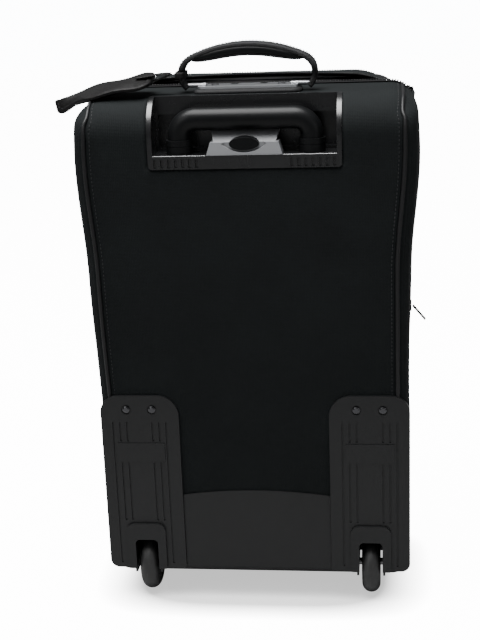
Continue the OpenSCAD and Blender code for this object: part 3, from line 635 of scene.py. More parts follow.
SOFT_EDGES: dict[str, float] = {
    "handle_pan": 0.0006, "latch_cover": 0.0005, "wheel_housing_left": 0.0006, "wheel_housing_right": 0.0006,
    "wheel_insert_left": 0.0006, "wheel_insert_right": 0.0006, "kick_plate": 0.0006,
    "carry_handle_plate": 0.0003,
}


class Wardrobe:
    """Builds each finish once and hands it out."""

    def __init__(self) -> None:
        """Makes the two shared groups."""
        self.weave = weave_group()
        self.wear = wear_group()
        self.made: dict[str, bpy.types.Material] = {}

    def get(self, name: str) -> bpy.types.Material:
        """The material of that finish."""
        if name not in self.made:
            self.made[name] = FINISHES[name].build(self.weave, self.wear)
        return self.made[name]

    def dress(self, obj: bpy.types.Object, name: str) -> bpy.types.Object:
        """Gives a piece its one material."""
        obj.data.materials.clear()
        obj.data.materials.append(self.get(name))
        return obj

    def dress_node(self, node: str, name: str) -> None:
        """Gives a node of the frame its material, and a small bevel on edges sharper than 40 degrees if it is
        listed in SOFT_EDGES.
        """
        obj = FRAME["nodes"][node]
        for s in obj.material_slots:
            s.material = self.get(name)
        if not obj.material_slots:
            obj.data.materials.append(self.get(name))
        if node in SOFT_EDGES:
            mod = obj.modifiers.new("moulded_edges", "BEVEL")
            mod.width, mod.segments = SOFT_EDGES[node], 2
            mod.limit_method, mod.angle_limit = "ANGLE", math.radians(40)


def fit_out(obj: bpy.types.Object, finish: str, body: str, wardrobe: Wardrobe,
            replaces: Sequence[str] = ()) -> bpy.types.Object:
    """Dresses a new piece, hangs it on the body it rides on and hides the nodes it stands for."""
    wardrobe.dress(obj, finish)
    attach(obj, body)
    if replaces:
        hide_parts(*replaces)
    LOG.info("%s on %s", obj.name, body)
    return obj


# ---------------------------------------------------------------- back half

@dataclass
class BackHalf:
    """The padded back half: back and top wrap, side panels, bottom, piping and lining."""

    wardrobe: Wardrobe
    step: float = 0.005
    seam_arc: float = 0.012
    form_r: float = 0.026

    def profile(self, inset: float) -> Array:
        """Side outline (n, 2) from the front of the bottom, round the back, to the front of the top."""
        s = SIZE
        br, tr = s.bottom_r - inset, s.top_r - inset
        y0, z0, z1 = s.back_y + inset, s.z_bottom + inset, s.z_top - inset
        return np.concatenate([
            [[s.seam_y - s.sew_in, z0]],
            arc(y0 + br, z0 + br, br, 270, 180, 13),
            arc(y0 + tr, z1 - tr, tr, 180, 90, 25),
            [[s.seam_y - s.sew_in, z1]],
        ])

    def stations(self, path: Array, marks: Sequence[float]) -> Array:
        """Distances along the outline that hold the marks and the arcs' ends."""
        return with_breaks(sorted({0.0, length_of(path), *marks}), self.step)

    def soften(self, p: Array) -> Array:
        """The slack form of padded cloth.

        Corners seen from behind are drawn in to a larger radius: a point at angle a from the corner's
        centre is scaled by the new radius over the old outline's distance in that direction. The
        walls swell a little between their seams, most in the upper part, and have shallow waves.
        """
        s = SIZE
        q = p.copy()
        r, small = self.form_r, self.seam_arc
        for sign_z, edge in ((1, s.z_top), (-1, s.z_bottom)):
            big = r if sign_z > 0 else 0.018
            dx = np.abs(q[..., 0]) - (s.half_w - big)
            dz = sign_z * (q[..., 2] - edge) + big
            zone = (dx > 0) & (dz > 0)
            a = np.arctan2(np.maximum(dz, 1e-9), np.maximum(dx, 1e-9))
            flat = big / np.maximum(np.cos(a), np.sin(a))
            c = big - small
            cs = c * (np.cos(a) + np.sin(a))
            root = np.sqrt(np.maximum(cs ** 2 - 2 * c * c + small ** 2, 0))
            old = np.where((flat * np.cos(a) > c) & (flat * np.sin(a) > c), cs + root, flat)
            k = np.where(zone, big / np.maximum(old, 1e-6), 1.0)
            q[..., 0] = np.where(zone, np.sign(q[..., 0]) * (s.half_w - big + dx * k), q[..., 0])
            q[..., 2] = np.where(zone, edge - sign_z * (big - dz * k), q[..., 2])
        on_side = smooth(np.abs(p[..., 0]), s.side_x + 0.004, s.half_w)
        middle_y = bell(p[..., 1], s.back_y, s.seam_y) ** 0.6
        up = bell(p[..., 2], 0.30, s.z_top)
        q[..., 0] += np.sign(p[..., 0]) * on_side * middle_y * (0.0015 + 0.004 * up)
        q[..., 0] += np.sign(p[..., 0]) * on_side * middle_y * 0.0010 * ripple(p, 0.16, 5)
        flat_back = smooth(-p[..., 1], -s.back_y - 0.004, -s.back_y)
        crown = bell(p[..., 0], -s.side_x, s.side_x) ** 0.5 * bell(p[..., 2], 0.12, 0.50) ** 0.5
        q[..., 1] -= flat_back * crown * (0.0015 + 0.0008 * ripple(p, 0.20, 9))
        flat_top = smooth(p[..., 2], s.z_top - 0.002, s.z_top) * (np.abs(p[..., 0]) < s.side_x + 0.02)
        q[..., 2] += (flat_top * bell(p[..., 1], s.back_y + 0.04, s.seam_y) ** 0.8 * 0.0004
                      * ripple(p, 0.07, 13))
        return spread(q)

    def wrap_grid(self, inset: float) -> tuple[Array, Array, Array, Array]:
        """Grid of the wrap: across the width and along the outline, with marks at each cut-out."""
        s = SIZE
        path = self.profile(inset)
        bottom = s.seam_y - s.back_y - s.bottom_r
        back0 = bottom + math.pi / 2 * (s.bottom_r - inset)
        total = length_of(path)
        mark_well = bottom - (s.well_front - s.bottom_r)
        mark_z = lambda z: back0 + z - (s.z_bottom + s.bottom_r)
        lip = total - (s.seam_y + s.pan_lip)
        st = self.stations(path, [mark_well, back0, mark_z(s.well_top), mark_z(s.pan_low),
                                  mark_z(s.pan_ledge), lip])
        half = [s.pan_half, s.well_in, s.well_out, s.side_x]
        xs = with_breaks([-v for v in reversed(half)] + half, self.step)
        yz = resample(path, st)
        x, k = np.meshgrid(xs, np.arange(len(st)), indexing="ij")
        p = np.stack([x, yz[k, 0], yz[k, 1]], axis=-1)
        uv = np.stack([x, st[k]], axis=-1)
        xc = (xs[:-1] + xs[1:]) / 2
        sc = (st[:-1] + st[1:]) / 2
        well = (((np.abs(xc) > s.well_in) & (np.abs(xc) < s.well_out))[:, None]
                & ((sc > mark_well) & (sc < mark_z(s.well_top))))
        pan = (np.abs(xc) < s.pan_half)[:, None] & ((sc > mark_z(s.pan_low)) & (sc < lip))
        split = (sc < back0)[None, :] & np.ones(len(xc), bool)[:, None]
        return p, uv, ~(well | pan), split

    def side_grid(self, sign: int, inset: float) -> tuple[Array, Array]:
        """Grid of a side panel.

        Each column starts on the outline at the back seam, turns through a quarter circle onto the
        side, and runs on a straight line to a point of the front seam at the same share of its way.
        """
        s = SIZE
        path = self.profile(inset)
        total = length_of(path)
        st = with_breaks([0, 0.056, 0.116, 0.18, total - 0.06, total], self.step)
        yz = resample(path, st)
        t = resample(path, np.minimum(st + 1e-4, total)) - resample(path, np.maximum(st - 1e-4, 0))
        t /= np.linalg.norm(t, axis=1)[:, None]
        n = np.stack([t[:, 1], -t[:, 0]], axis=1)
        inner = np.array([-0.03, 0.3]) - yz
        n *= np.sign((n * inner).sum(1))[:, None]
        z_front = s.z_bottom + inset + (s.z_top - s.z_bottom - 2 * inset) * st / total
        target = np.stack([np.full_like(st, s.seam_y - s.sew_in), z_front], axis=1)
        r = self.seam_arc - inset * 0.3
        cols, xcol = [], []
        for a in np.linspace(0, math.pi / 2, 7):
            cols.append(yz + n * r * (1 - math.cos(a)))
            xcol.append(np.full(len(st), s.side_x + (s.half_w - inset - s.side_x) * math.sin(a)))
        start = cols[-1].copy()
        for f in np.linspace(0, 1, 27)[1:]:
            cols.append(start + (target - start) * f)
            xcol.append(np.full(len(st), s.half_w - inset))
        q = np.stack(cols, axis=0)
        x = np.stack(xcol, axis=0)
        q[..., 0] = np.minimum(q[..., 0], s.seam_y - s.sew_in)
        q[..., 1] = np.clip(q[..., 1], s.z_bottom + inset, s.z_top - inset)
        p = np.stack([sign * x, q[..., 0], q[..., 1]], axis=-1)
        uv = np.stack([q[..., 0], q[..., 1]], axis=-1)
        return p, uv

    def build(self) -> None:
        """Makes the outer skins, the piping, the stitching and the lining."""
        p, uv, keep, split = self.wrap_grid(0)
        p = self.soften(p)
        back = skin("back_and_top", p, uv, WALL_T, BACK_CENTRE, keep & ~split)
        fit_out(back, "ballistic_cloth", "case", self.wardrobe, ["back_wrap"])
        base = skin("bottom_cloth", p, uv, WALL_T, BACK_CENTRE, keep & split)
        fit_out(base, "base_cloth", "case", self.wardrobe, ["bottom_panel"])
        for sign, side in SIDES:
            q, quv = self.side_grid(sign, 0)
            panel = skin(f"side_{side}", self.soften(q), quv, WALL_T, SIDE_CENTRE)
            fit_out(panel, "side_cloth", "case", self.wardrobe,
                    [f"side_panel_{side}"])
        self.trim()
        self.lining()

    def seam_line(self, x: float, out: float, lo: float) -> Array:
        """A line on the skin at distance x from the centre plane, from height lo on the back upwards."""
        path = self.profile(-out)
        total = length_of(path)
        pts = resample(path, np.arange(0.13 + lo, total - 0.003, 0.003))
        p = np.stack([np.full(len(pts), x), pts[:, 0], pts[:, 1]], axis=1)
        return self.soften(p)

    def trim(self) -> None:
        """Piping over each back seam, from above the housing upwards, with one stitch row inside it."""
        low = 0.206
        pieces = [sweep(f"piping_{side}", self.seam_line(sign * (SIZE.side_x + 0.0005), 0.0008, low),
                        round_section(0.0021), (0, -1, 0.3)) for sign, side in SIDES]
        for k, rod in enumerate(pieces):
            fit_out(rod, "piping_vinyl", "case", self.wardrobe, [] if k else ["edge_piping"])
        c, d = join_rows([row_of(self.seam_line(sign * (SIZE.side_x - 0.0055), 0.0002, low), 0.0042)
                          for sign, _ in SIDES])
        out = c - np.array([0, -0.03, 0.45])
        out[:, 0] = 0
        st = beads("seam_stitches", c, d, out, (0.0014, 0.0004, 0.0004))
        fit_out(st, "thread", "case", self.wardrobe)

    def lining(self) -> None:
        """Cloth lining of the back half, hung a little slack inside the walls."""
        slack = 0.0045
        p, uv, keep, _ = self.wrap_grid(slack)
        inner = skin("lining_back", self.soften(p), uv, LINING_T, BACK_CENTRE, keep)
        fit_out(inner, "lining_cloth", "case", self.wardrobe, ["body_lining"])
        for sign, side in SIDES:
            q, quv = self.side_grid(sign, slack)
            fit_out(skin(f"lining_{side}", self.soften(q), quv, LINING_T, SIDE_CENTRE), "lining_cloth",
                    "case", self.wardrobe)


# ---------------------------------------------------------------- front half

def outline(inset: float, n: int = 420, lift: float = 0.0, r_top: float = 0.058,
            r_low: float = 0.036) -> Array:
    """Closed outline (n, 2) in X and Z of the front half, starting at the middle of the bottom."""
    s = SIZE
    hw = s.half_w - 0.002 - inset
    z0, z1 = s.z_bottom + 0.002 + inset, s.z_top + s.crest + lift - inset
    rt, rl = max(r_top - inset, 0.004), max(r_low - inset, 0.004)
    pts = np.concatenate([
        [[0.0, z0]], arc(hw - rl, z0 + rl, rl, -90, 0, 17), arc(hw - rt, z1 - rt, rt, 0, 90, 25),
        arc(-hw + rt, z1 - rt, rt, 90, 180, 25), arc(-hw + rl, z0 + rl, rl, 180, 270, 17), [[0.0, z0]]])
    return resample(pts, np.linspace(0, length_of(pts), n + 1))[:-1]


def lens_y(x: Array, z: Array) -> Array:
    """How far forward the open zipper's front row lies, for points on the top edge."""
    s = SIZE
    r = (s.lens_half ** 2 + s.lens_depth ** 2) / (2 * s.lens_depth)
    d = np.sqrt(np.maximum(r * r - x * x, 0)) - (r - s.lens_depth)
    return np.where(z > 0.5, np.maximum(d, 0), 0)


def outward(o: Array) -> Array:
    """Unit normals (n, 2) of a closed outline, pointing away from its middle."""
    t = np.roll(o, -1, axis=0) - np.roll(o, 1, axis=0)
    t /= np.linalg.norm(t, axis=1)[:, None]
    n = np.stack([t[:, 1], -t[:, 0]], axis=1)
    flip = np.sign((n * (o - o.mean(axis=0))).sum(1))
    return n * flip[:, None]


@dataclass
class FrontHalf:
    """The front band, its bellows and the two zippers, expansion and main."""

    wardrobe: Wardrobe
    count: int = 420

    def band(self) -> None:
        """The cloth band: for each point of the outline, a strip from the zipper row to the frame.

        It swells between its two edges as half a sine, and its waves fade at the edges.
        """
        s = SIZE
        o = outline(0, self.count)
        n = outward(o)
        y0 = s.frame_y + 0.0042 + lens_y(o[:, 0], o[:, 1])
        f = np.linspace(0, 1, 15)
        y = y0[:, None] + (s.front_y - 0.0008 - y0[:, None]) * f[None]
        x, z = np.broadcast_to(o[:, :1], y.shape), np.broadcast_to(o[:, 1:], y.shape)
        base = np.stack([x, y, z], axis=-1)
        swell = np.sin(math.pi * f)[None] ** 0.7
        puff = 0.0022 + 0.0008 * ripple(base, 0.11, 21)
        p = base.copy()
        p[..., 0] += n[:, :1] * swell * puff
        p[..., 2] += n[:, 1:] * swell * puff
        p = spread(p)
        ring = np.arange(self.count) * length_of(np.concatenate([o, o[:1]])) / self.count
        uv = np.stack([np.broadcast_to(ring[:, None], y.shape), y], axis=-1)
        obj = skin("front_cloth", p, uv, BAND_T, FRONT_CENTRE, wrap_u=True)
        fit_out(obj, "ballistic_cloth", "front_section", self.wardrobe, ["front_band"])

    def bellows(self) -> None:
        """The gusset cloth inside the expansion zipper.

        Rings run from behind the rear row to behind the front row. Under the open top it rises with
        the front row and sags a little between the rows.
        """
        y_blend, y_row = 0.0146, SIZE.frame_y
        o_in = outline(0.0062, self.count, lift=-0.0062 + 0.002, r_top=0.036)
        o_out = outline(0.0050, self.count)
        deep = lens_y(o_out[:, 0], o_out[:, 1])
        share = np.clip(deep / SIZE.lens_depth, 0, 1)[:, None]
        stops = np.concatenate([np.linspace(0.0100, 0.0142, 3), np.linspace(y_blend, y_row, 5)])
        shape = (self.count, len(stops))
        p_in = np.stack([np.broadcast_to(v, shape) for v in (o_in[:, :1], stops[None], o_in[:, 1:])], axis=-1)
        f = np.linspace(0, 1, 13)[1:]
        y = y_row + (deep[:, None] + 0.0075) * f[None]
        mix = np.clip((y - y_row) / 0.05, 0, 1) ** 0.8
        x = o_in[:, :1] + (o_out[:, :1] - o_in[:, :1]) * mix
        z = o_in[:, 1:] + (o_out[:, 1:] - o_in[:, 1:]) * mix
        z = z - 0.004 * np.sin(math.pi * f)[None] * share
        p = np.concatenate([p_in, np.stack([x, y, z], axis=-1)], axis=1)
        p[..., 2] += 0.0008 * ripple(p, 0.05, 31) * share
        ring = np.arange(self.count) * length_of(np.concatenate([o_in, o_in[:1]])) / self.count
        uv = np.stack([np.broadcast_to(ring[:, None], p.shape[:2]), p[..., 1]], axis=-1)
        obj = skin("bellows_cloth", spread(p), uv, GUSSET_T, FRONT_CENTRE, wrap_u=True)
        self.wardrobe.dress(obj, "gusset_cloth")
        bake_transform(obj)
        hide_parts("expansion_bellows")
        LOG.info("bellows_cloth between case and front_section")

    def zipper(self, name: str, path: Array, out: Array, across: Array, body: str, nodes: Sequence[str],
               shift: float, width: float = 0.0085, pitch: float = 0.0030) -> None:
        """One row of a zipper: a flat tape beside the row, and the row's teeth.

        Args:
            name: the piece's name.
            path: the teeth's line (n, 3), a loop.
            out: outward directions (n, 3).
            across: direction from the teeth towards the tape (n, 3).
            body: the body it rides on.
            nodes: the nodes it stands for.
            shift: how far the tape's middle lies from the teeth.
            width: the tape's width.
            pitch: distance between teeth.
        """
        path = spread(path)
        tape = sweep(f"{name}_tape", path + across * shift - out * 0.0006,
                     flat_section(width, 0.0011, 12, 6.0), out, True)
        fit_out(tape, "zip_tape", body, self.wardrobe, nodes)
        c, _ = row_of(path, pitch, True)
        near = np.argmin(((c[:, None] - path[None, ::3]) ** 2).sum(-1), axis=1)
        o = out[::3][near]
        a = across[::3][near]
        teeth = beads(f"{name}_teeth", c + o * 0.0004, a, o, (0.0017, 0.00105, 0.0011))
        fit_out(teeth, "zip_nylon", body, self.wardrobe)

    def zippers(self) -> None:
        """The rear and front rows of the expansion zipper and the main zipper's two rows."""
        s = SIZE
        o = outline(-0.0018, self.count, lift=-s.crest, r_top=0.024, r_low=0.024)
        rear = np.tile([0.0, -1.0, 0.0], (len(o), 1))
        self.zipper("expansion_rear", at_depth(o, s.seam_y - 0.0012), at_depth(outward(o), 0.0), rear,
                    "case", ["expansion_chain_back"], 0.0040)
        o = outline(-0.0008, self.count)
        line = at_depth(o, s.frame_y + 0.0012 + lens_y(o[:, 0], o[:, 1]))
        out = at_depth(outward(o), 0.0)
        ahead = np.cross(np.roll(line, -1, axis=0) - np.roll(line, 1, axis=0), out)
        ahead /= np.linalg.norm(ahead, axis=1)[:, None]
        ahead *= np.sign(ahead[:, 1:2])
        self.zipper("expansion_front", line, out, ahead, "front_section", ["expansion_chain_front"], 0.0040)
        for name, y, way, grow, body, node in (
                ("main_rear", s.front_y + 0.0016, -1.0, 0.0006, "front_section", "main_chain_frame"),
                ("main_front", s.lid_y - 0.0016, 1.0, 0.0004, "lid", "main_chain_lid")):
            o = outline(-grow, self.count)
            side = np.tile([0.0, way, 0.0], (len(o), 1))
            self.zipper(name, at_depth(o, y), at_depth(outward(o), 0.0), side, body, [node], 0.0036)

    def build(self) -> None:
        """Makes all of the front half's soft pieces."""
        self.band()
        self.bellows()
        self.zippers()
        self.wardrobe.dress_node("frame_hoop", "tube_metal")
        self.wardrobe.dress_node("front_feet", "kick_satin")


@dataclass
class Lid:
    """The padded lid with its two pockets, their zippers and the lining."""

    wardrobe: Wardrobe
    count: int = 360

    def cushion(self, name: str, o: Array, y0: float, y1: float, edge: float, crown: float,
                seed: int) -> bpy.types.Object:
        """A closed cushion over an outline.

        The rim turns over as a quarter circle of the given radius. Inside it the outline shrinks
        towards its middle while the face rises by crown times one minus the fourth power of the
        distance from the middle, with shallow waves.
        """
        n = outward(o)
        mid = o.mean(axis=0)
        rings = [at_depth(o, y0)]
        for a in np.linspace(0, math.pi / 2, 8):
            rings.append(at_depth(o - n * edge * (1 - math.cos(a)), y1 - edge + edge * math.sin(a)))
        rim = o - n * edge
        for f in np.linspace(1, 0.02, 26)[1:]:
            pts = at_depth(mid + (rim - mid) * f, y1 + crown * (1 - f ** 4))
            pts[:, 1] += 0.0009 * ripple(pts, 0.13, seed) * (1 - f ** 6)
            rings.append(pts)
        p = np.stack(rings, axis=0)
        return ring_stack(name, p, p[..., [0, 2]])

    def rounded(self, x0: float, x1: float, z0: float, z1: float, r: Sequence[float]) -> Array:
        """Closed outline of a rectangle with its own corner radii, anticlockwise from low x, low z."""
        pts = np.concatenate([
            arc(x0 + r[0], z0 + r[0], r[0], 180, 270, 12), arc(x1 - r[1], z0 + r[1], r[1], 270, 360, 12),
            arc(x1 - r[2], z1 - r[2], r[2], 0, 90, 12), arc(x0 + r[3], z1 - r[3], r[3], 90, 180, 12)])
        pts = np.concatenate([pts, pts[:1]])
        return resample(pts, np.linspace(0, length_of(pts), self.count + 1))[:-1]

    def build(self) -> None:
        """Makes the lid, the pockets, the piping round each and their zippers."""
        s = SIZE
        w = self.wardrobe
        face = s.lid_y + 0.008
        o = outline(0, self.count)
        pad = self.cushion("lid_pad", o, s.lid_y + 0.0004, face - 0.0005, 0.0055, 0.0006, 41)
        fit_out(pad, "ballistic_cloth", "lid", w, ["lid_panel"])
        half = 0.154
        low_o = self.rounded(-half, half, s.z_bottom + 0.020, s.z_bottom + 0.385,
                             (0.026, 0.026, 0.014, 0.014))
        top_o = self.rounded(-half, half, s.z_bottom + 0.397, s.z_top - 0.022, (0.010, 0.010, 0.030, 0.030))
        low = self.cushion("pocket_lower", low_o, face, face + 0.0165, 0.010, 0.003, 43)
        fit_out(low, "side_cloth", "lid", w, ["lower_pocket"])
        top = self.cushion("pocket_upper", top_o, face, face + 0.0105, 0.007, 0.003, 47)
        fit_out(top, "side_cloth", "lid", w, ["upper_pocket"])
        for name, oo, depth, edge in (("lower", low_o, 0.0165, 0.010), ("upper", top_o, 0.0105, 0.007)):
            n = outward(oo)
            line = at_depth(oo - n * edge * 0.3, face + depth - edge * 0.25)
            rod = sweep(f"pocket_piping_{name}", line, round_section(0.0017), (0, 1, 0), True)
            fit_out(rod, "piping_vinyl", "lid", w)
        line = at_depth(outline(0.004, self.count), face - 0.0016)
        fit_out(sweep("lid_piping", line, round_section(0.0019), (0, 1, 0), True),
                "piping_vinyl", "lid", w)
        for name, x, z, nodes in (("lower", 0.138, s.z_bottom + 0.3862, ["pocket_chains"]),
                                  ("upper", 0.126, s.z_top - 0.0208, [])):
            xs = np.arange(-x, x, 0.004)
            path = np.column_stack([xs, np.full(len(xs), face + 0.006), np.full(len(xs), z)])
            tape = sweep(f"pocket_zip_tape_{name}", path, flat_section(0.0075, 0.0012, 12, 6.0), (0, 0, 1))
            fit_out(tape, "zip_tape", "lid", w, nodes)
            c, _ = row_of(path, 0.0030)
            out = np.tile([0.0, 0.0, 1.0], (len(c), 1))
            a = np.tile([0.0, 1.0, 0.0], (len(c), 1))
            fit_out(beads(f"pocket_zip_teeth_{name}", c + out * 0.0008, a, out, (0.0022, 0.0010, 0.0010)),
                    "zip_nylon", "lid", w)
        liner = outline(0.013, self.count)
        y = s.lid_y - 0.0004
        pad2 = self.cushion("lid_lining_cloth", liner, y, y - 0.0012, -0.0008, -0.0008, 49)
        fit_out(pad2, "lining_cloth", "lid", w, ["lid_lining"])


# ---------------------------------------------------------------- handles

@dataclass
class CarryHandle:
    """The padded top handle on its metal plate and cloth patch."""

    wardrobe: Wardrobe
    y: float = -0.047
    loop_x: float = 0.075
    end_r: float = 0.022
    top: float = 0.625
    end_cz: float = 0.5915
    pin_z: float = 0.580

    def centreline(self) -> Array:
        """The strap's middle line: two end arcs joined by one long arc over the top."""
        cx = self.loop_x - self.end_r
        rise = self.top - self.end_cz
        r = (cx ** 2 + rise ** 2 - self.end_r ** 2) / (2 * (rise - self.end_r))
        cz = self.top - r
        a = math.degrees(math.atan2(cx, self.end_cz - cz))
        mid = 0.0026
        low = math.degrees(math.asin((self.pin_z - 0.003 - self.end_cz) / (self.end_r - mid)))
        left = arc(-cx, self.end_cz, self.end_r - mid, 180 - low, 90 + a, 15)
        crown = arc(0, cz, r - mid, 90 + a, 90 - a, 41)[1:-1]
        right = arc(cx, self.end_cz, self.end_r - mid, 90 - a, low, 15)
        return np.concatenate([left, crown, right])

    def build(self) -> None:
        """Makes the patch, the strap and its padded grip, and dresses the plate."""
        w = self.wardrobe
        c = self.centreline()
        path = np.column_stack([c[:, 0], np.full(len(c), self.y), c[:, 1]])
        path = resample(path, np.linspace(0, length_of(path), 121))
        cx = path[:, 0]
        width = 0.015 + 0.0105 * smooth(path[:, 2], self.pin_z + 0.006, self.pin_z + 0.020)
        up = np.column_stack([path[:, 0] * 0.6, np.zeros(len(path)), path[:, 2] - 0.545])
        strap = sweep("carry_strap_web", path, flat_section(width, 0.0064, 20, 4.0), up)
        fit_out(strap, "webbing", "carry_handle", w, ["carry_strap"])
        pad_half = 0.061
        sel = np.abs(cx) < pad_half
        pad_path = path[sel] - np.array([0, 0, 1.0]) * 0.0055
        f = np.abs(pad_path[:, 0]) / pad_half
        thick = 0.0135 * np.sqrt(np.clip(1 - f ** 4, 0.02, 1))
        pad_path[:, 2] += 0.0035 * f ** 4
        wide = 0.0265 * np.clip(1 - f ** 8, 0.05, 1) ** 0.25
        pad = sweep("carry_pad", pad_path, flat_section(wide, thick, 24, 2.8), up[sel])
        fit_out(pad, "grip_gloss", "carry_handle", w)
        rows = []
        for side in (-1, 1):
            line = path.copy()
            line[:, 1] += side * (width / 2 - 0.0025)
            line += up / np.linalg.norm(up, axis=1)[:, None] * 0.0033
            rows.append(row_of(line[8:-8], 0.0036))
        cc, dd = join_rows(rows)
        out = np.column_stack([cc[:, 0] * 0.6, cc[:, 0] * 0, cc[:, 2] - 0.545])
        st = beads("carry_stitches", cc, dd, out, (0.0012, 0.00035, 0.00035))
        fit_out(st, "thread", "carry_handle", w)
        lid = Lid(w, 200)
        o = lid.rounded(-0.058, 0.058, self.y - 0.018, self.y + 0.018, (0.009,) * 4)
        n = outward(o)
        z = SIZE.z_top
        rings = [(0.0, -0.0004), (0.0, 0.0022), (0.0012, 0.0040), (0.0035, 0.0047), (0.006, 0.0044),
                 (0.011, 0.0047)]
        p = np.stack([np.column_stack([*(o - n * a).T, np.full(len(o), z + b)]) for a, b in rings], axis=0)
        patch = ring_stack("carry_patch", p, p[..., :2])
        fit_out(patch, "webbing", "case", w, ["carry_handle_base"])
        q = o - n * 0.0046
        c2, d2 = row_of(np.column_stack([q, np.full(len(q), z + 0.0047)]), 0.0034, True)
        up2 = np.tile([0.0, 0.0, 1.0], (len(c2), 1))
        fit_out(beads("patch_stitches", c2, d2, up2, (0.0011, 0.0003, 0.0003)),
                "thread", "case", w)
        w.dress_node("carry_handle_plate", "plate_grey")
        w.dress_node("carry_plate_screws", "screw_metal")


@dataclass
class SideHandle:
    """The webbing handle on the left side, with its two anchors."""

    wardrobe: Wardrobe
    y: float = -0.043
    z: float = 0.300
    half: float = 0.076

    def build(self) -> None:
        """A strap bowed as half a sine from anchor to anchor, thicker in its padded middle."""
        t = np.linspace(-1, 1, 61)
        x = -SIZE.half_w - 0.0022 - 0.0118 * np.cos(t * math.pi / 2) ** 0.9
        path = np.column_stack([x, np.full(61, self.y), self.z + t * (self.half + 0.004)])
        thick = 0.0028 + 0.0022 * (1 - t ** 2)
        strap = sweep("side_strap", path, flat_section(0.0235, thick, 20, 4.0), (-1, 0, 0))
        fit_out(strap, "webbing", "case", self.wardrobe, ["side_handle"])
        self.wardrobe.dress_node("side_handle_anchors", "kick_satin")


@dataclass
class LuggageTag:
    """A leather tag that lies over the top edge, held by a strap round the handle's end."""

    wardrobe: Wardrobe
    x: float = -0.101
    y: float = -0.060
    z: float = 0.587
    handle_y: float = -0.047
    tilt: float = math.radians(11)
    roll: float = math.radians(8)
    long: float = 0.112
    wide: float = 0.062

    def place(self, p: Array) -> Array:
        """Moves points from the tag's own frame: narrowed and curled by distance, then roll, then tilt.

        The width is scaled by one minus 0.92 of a smooth step over the last part. Past the body's side
        the near half hangs down by up to 11 mm, and shallow waves cross the leaf.
        """
        c, s = math.cos(self.tilt), math.sin(self.tilt)
        q = p.copy()
        far = np.clip(-p[..., 0] / self.long, 0, 1)
        q[..., 1] = p[..., 1] * (1 - 0.92 * smooth(far, 0.46, 1.02))
        q[..., 2] = p[..., 2] - 0.002 * far ** 2 + 0.0012 * np.sin(far * math.pi) \
            + 0.0008 * np.cos(p[..., 1] / self.wide * 2 * math.pi) * far \
            - 0.011 * smooth(far, 0.64, 0.98) * np.clip(-p[..., 1] / self.wide * 2, 0, 1) \
            + 0.0016 * np.sin(far * 9 + p[..., 1] * 60) * smooth(far, 0.02, 0.2) * (1 - smooth(far, 0.5, 0.8))
        cr, sr = math.cos(self.roll), math.sin(self.roll)
        y, z = q[..., 1] * cr - q[..., 2] * sr, q[..., 1] * sr + q[..., 2] * cr
        r = q.copy()
        r[..., 0] = q[..., 0] * c - z * s + self.x
        r[..., 2] = q[..., 0] * s + z * c + self.z
        r[..., 1] = y + self.y
        return r

    def build(self) -> None:
        """Two leather leaves with a rolled edge, a row of stitches, the folded strap and the loop."""
        w = self.wardrobe
        lid = Lid(w, 240)
        hw = self.wide / 2
        o = lid.rounded(-self.long, 0.0, -hw, hw, (0.010, 0.014, 0.014, 0.010))
        n = outward(o)
        top, flat_in = 0.0046, 0.009
        rings = [(0.012, 0.0002), (0.0035, 0.0), (0.0008, 0.0004), (0.0, 0.0014), (0.0006, 0.0022),
                 (0.0, 0.0030), (0.0008, 0.0040), (0.0035, top), (0.0060, 0.0041), (flat_in, top)]
        mid = np.array([-self.long / 2, 0.0])
        stack = [np.column_stack([*(o - n * a).T, np.full(len(o), b)]) for a, b in rings]
        inner = o - n * flat_in
        for f in np.linspace(1, 0.05, 14)[1:]:
            q = mid + (inner - mid) * f
            stack.append(np.column_stack([q, np.full(len(o), top + 0.0005 * (1 - f))]))
        p = self.place(np.stack(stack, axis=0))
        leaf = ring_stack("tag_leather", p, p[..., :2])
        fit_out(leaf, "tag_leather", "luggage_tag", w, ["luggage_tag"])
        q = o - n * 0.0038
        c, d = row_of(self.place(np.column_stack([q, np.full(len(q), top)])), 0.0034, True)
        up = np.tile([-0.19, 0.0, 1.0], (len(c), 1))
        fit_out(beads("tag_stitches", c, d, up, (0.0012, 0.00035, 0.00035)),
                "thread", "luggage_tag", w)
        strap = np.array([[-0.010, 0, -0.0008], [0.000, 0, -0.0010], [0.008, 0, 0.0010], [0.016, 0, 0.0022],
                          [0.0195, 0, 0.0034], [0.016, 0, 0.0048], [0.008, 0, 0.0060], [-0.002, 0, 0.0064],
                          [-0.012, 0, 0.0060], [-0.017, 0, 0.0058]])
        line = self.place(resample(strap, np.linspace(0, length_of(strap), 50)))
        t = np.gradient(line, axis=0)
        up2 = np.column_stack([t[:, 2], t[:, 1] * 0, -t[:, 0]])
        fit_out(sweep("tag_strap_leather", line, flat_section(0.0165, 0.0016, 16, 5.0), up2),
                "tag_leather", "luggage_tag", w, ["tag_strap"])
        a = 2 * math.pi * np.arange(72) / 72
        k = 0.4
        sx, sy = 0.0048, 0.0148
        loop = np.column_stack([-0.0724 + sx * np.sign(np.cos(a)) * np.abs(np.cos(a)) ** k,
                                self.handle_y + sy * np.sign(np.sin(a)) * np.abs(np.sin(a)) ** k,
                                np.full(72, 0.5918)])
        fit_out(sweep("tag_loop_leather", loop, flat_section(0.0018, 0.0072, 12, 4.0), (0, 0, 1), True),
                "tag_leather", "carry_handle", w, ["tag_loop"])


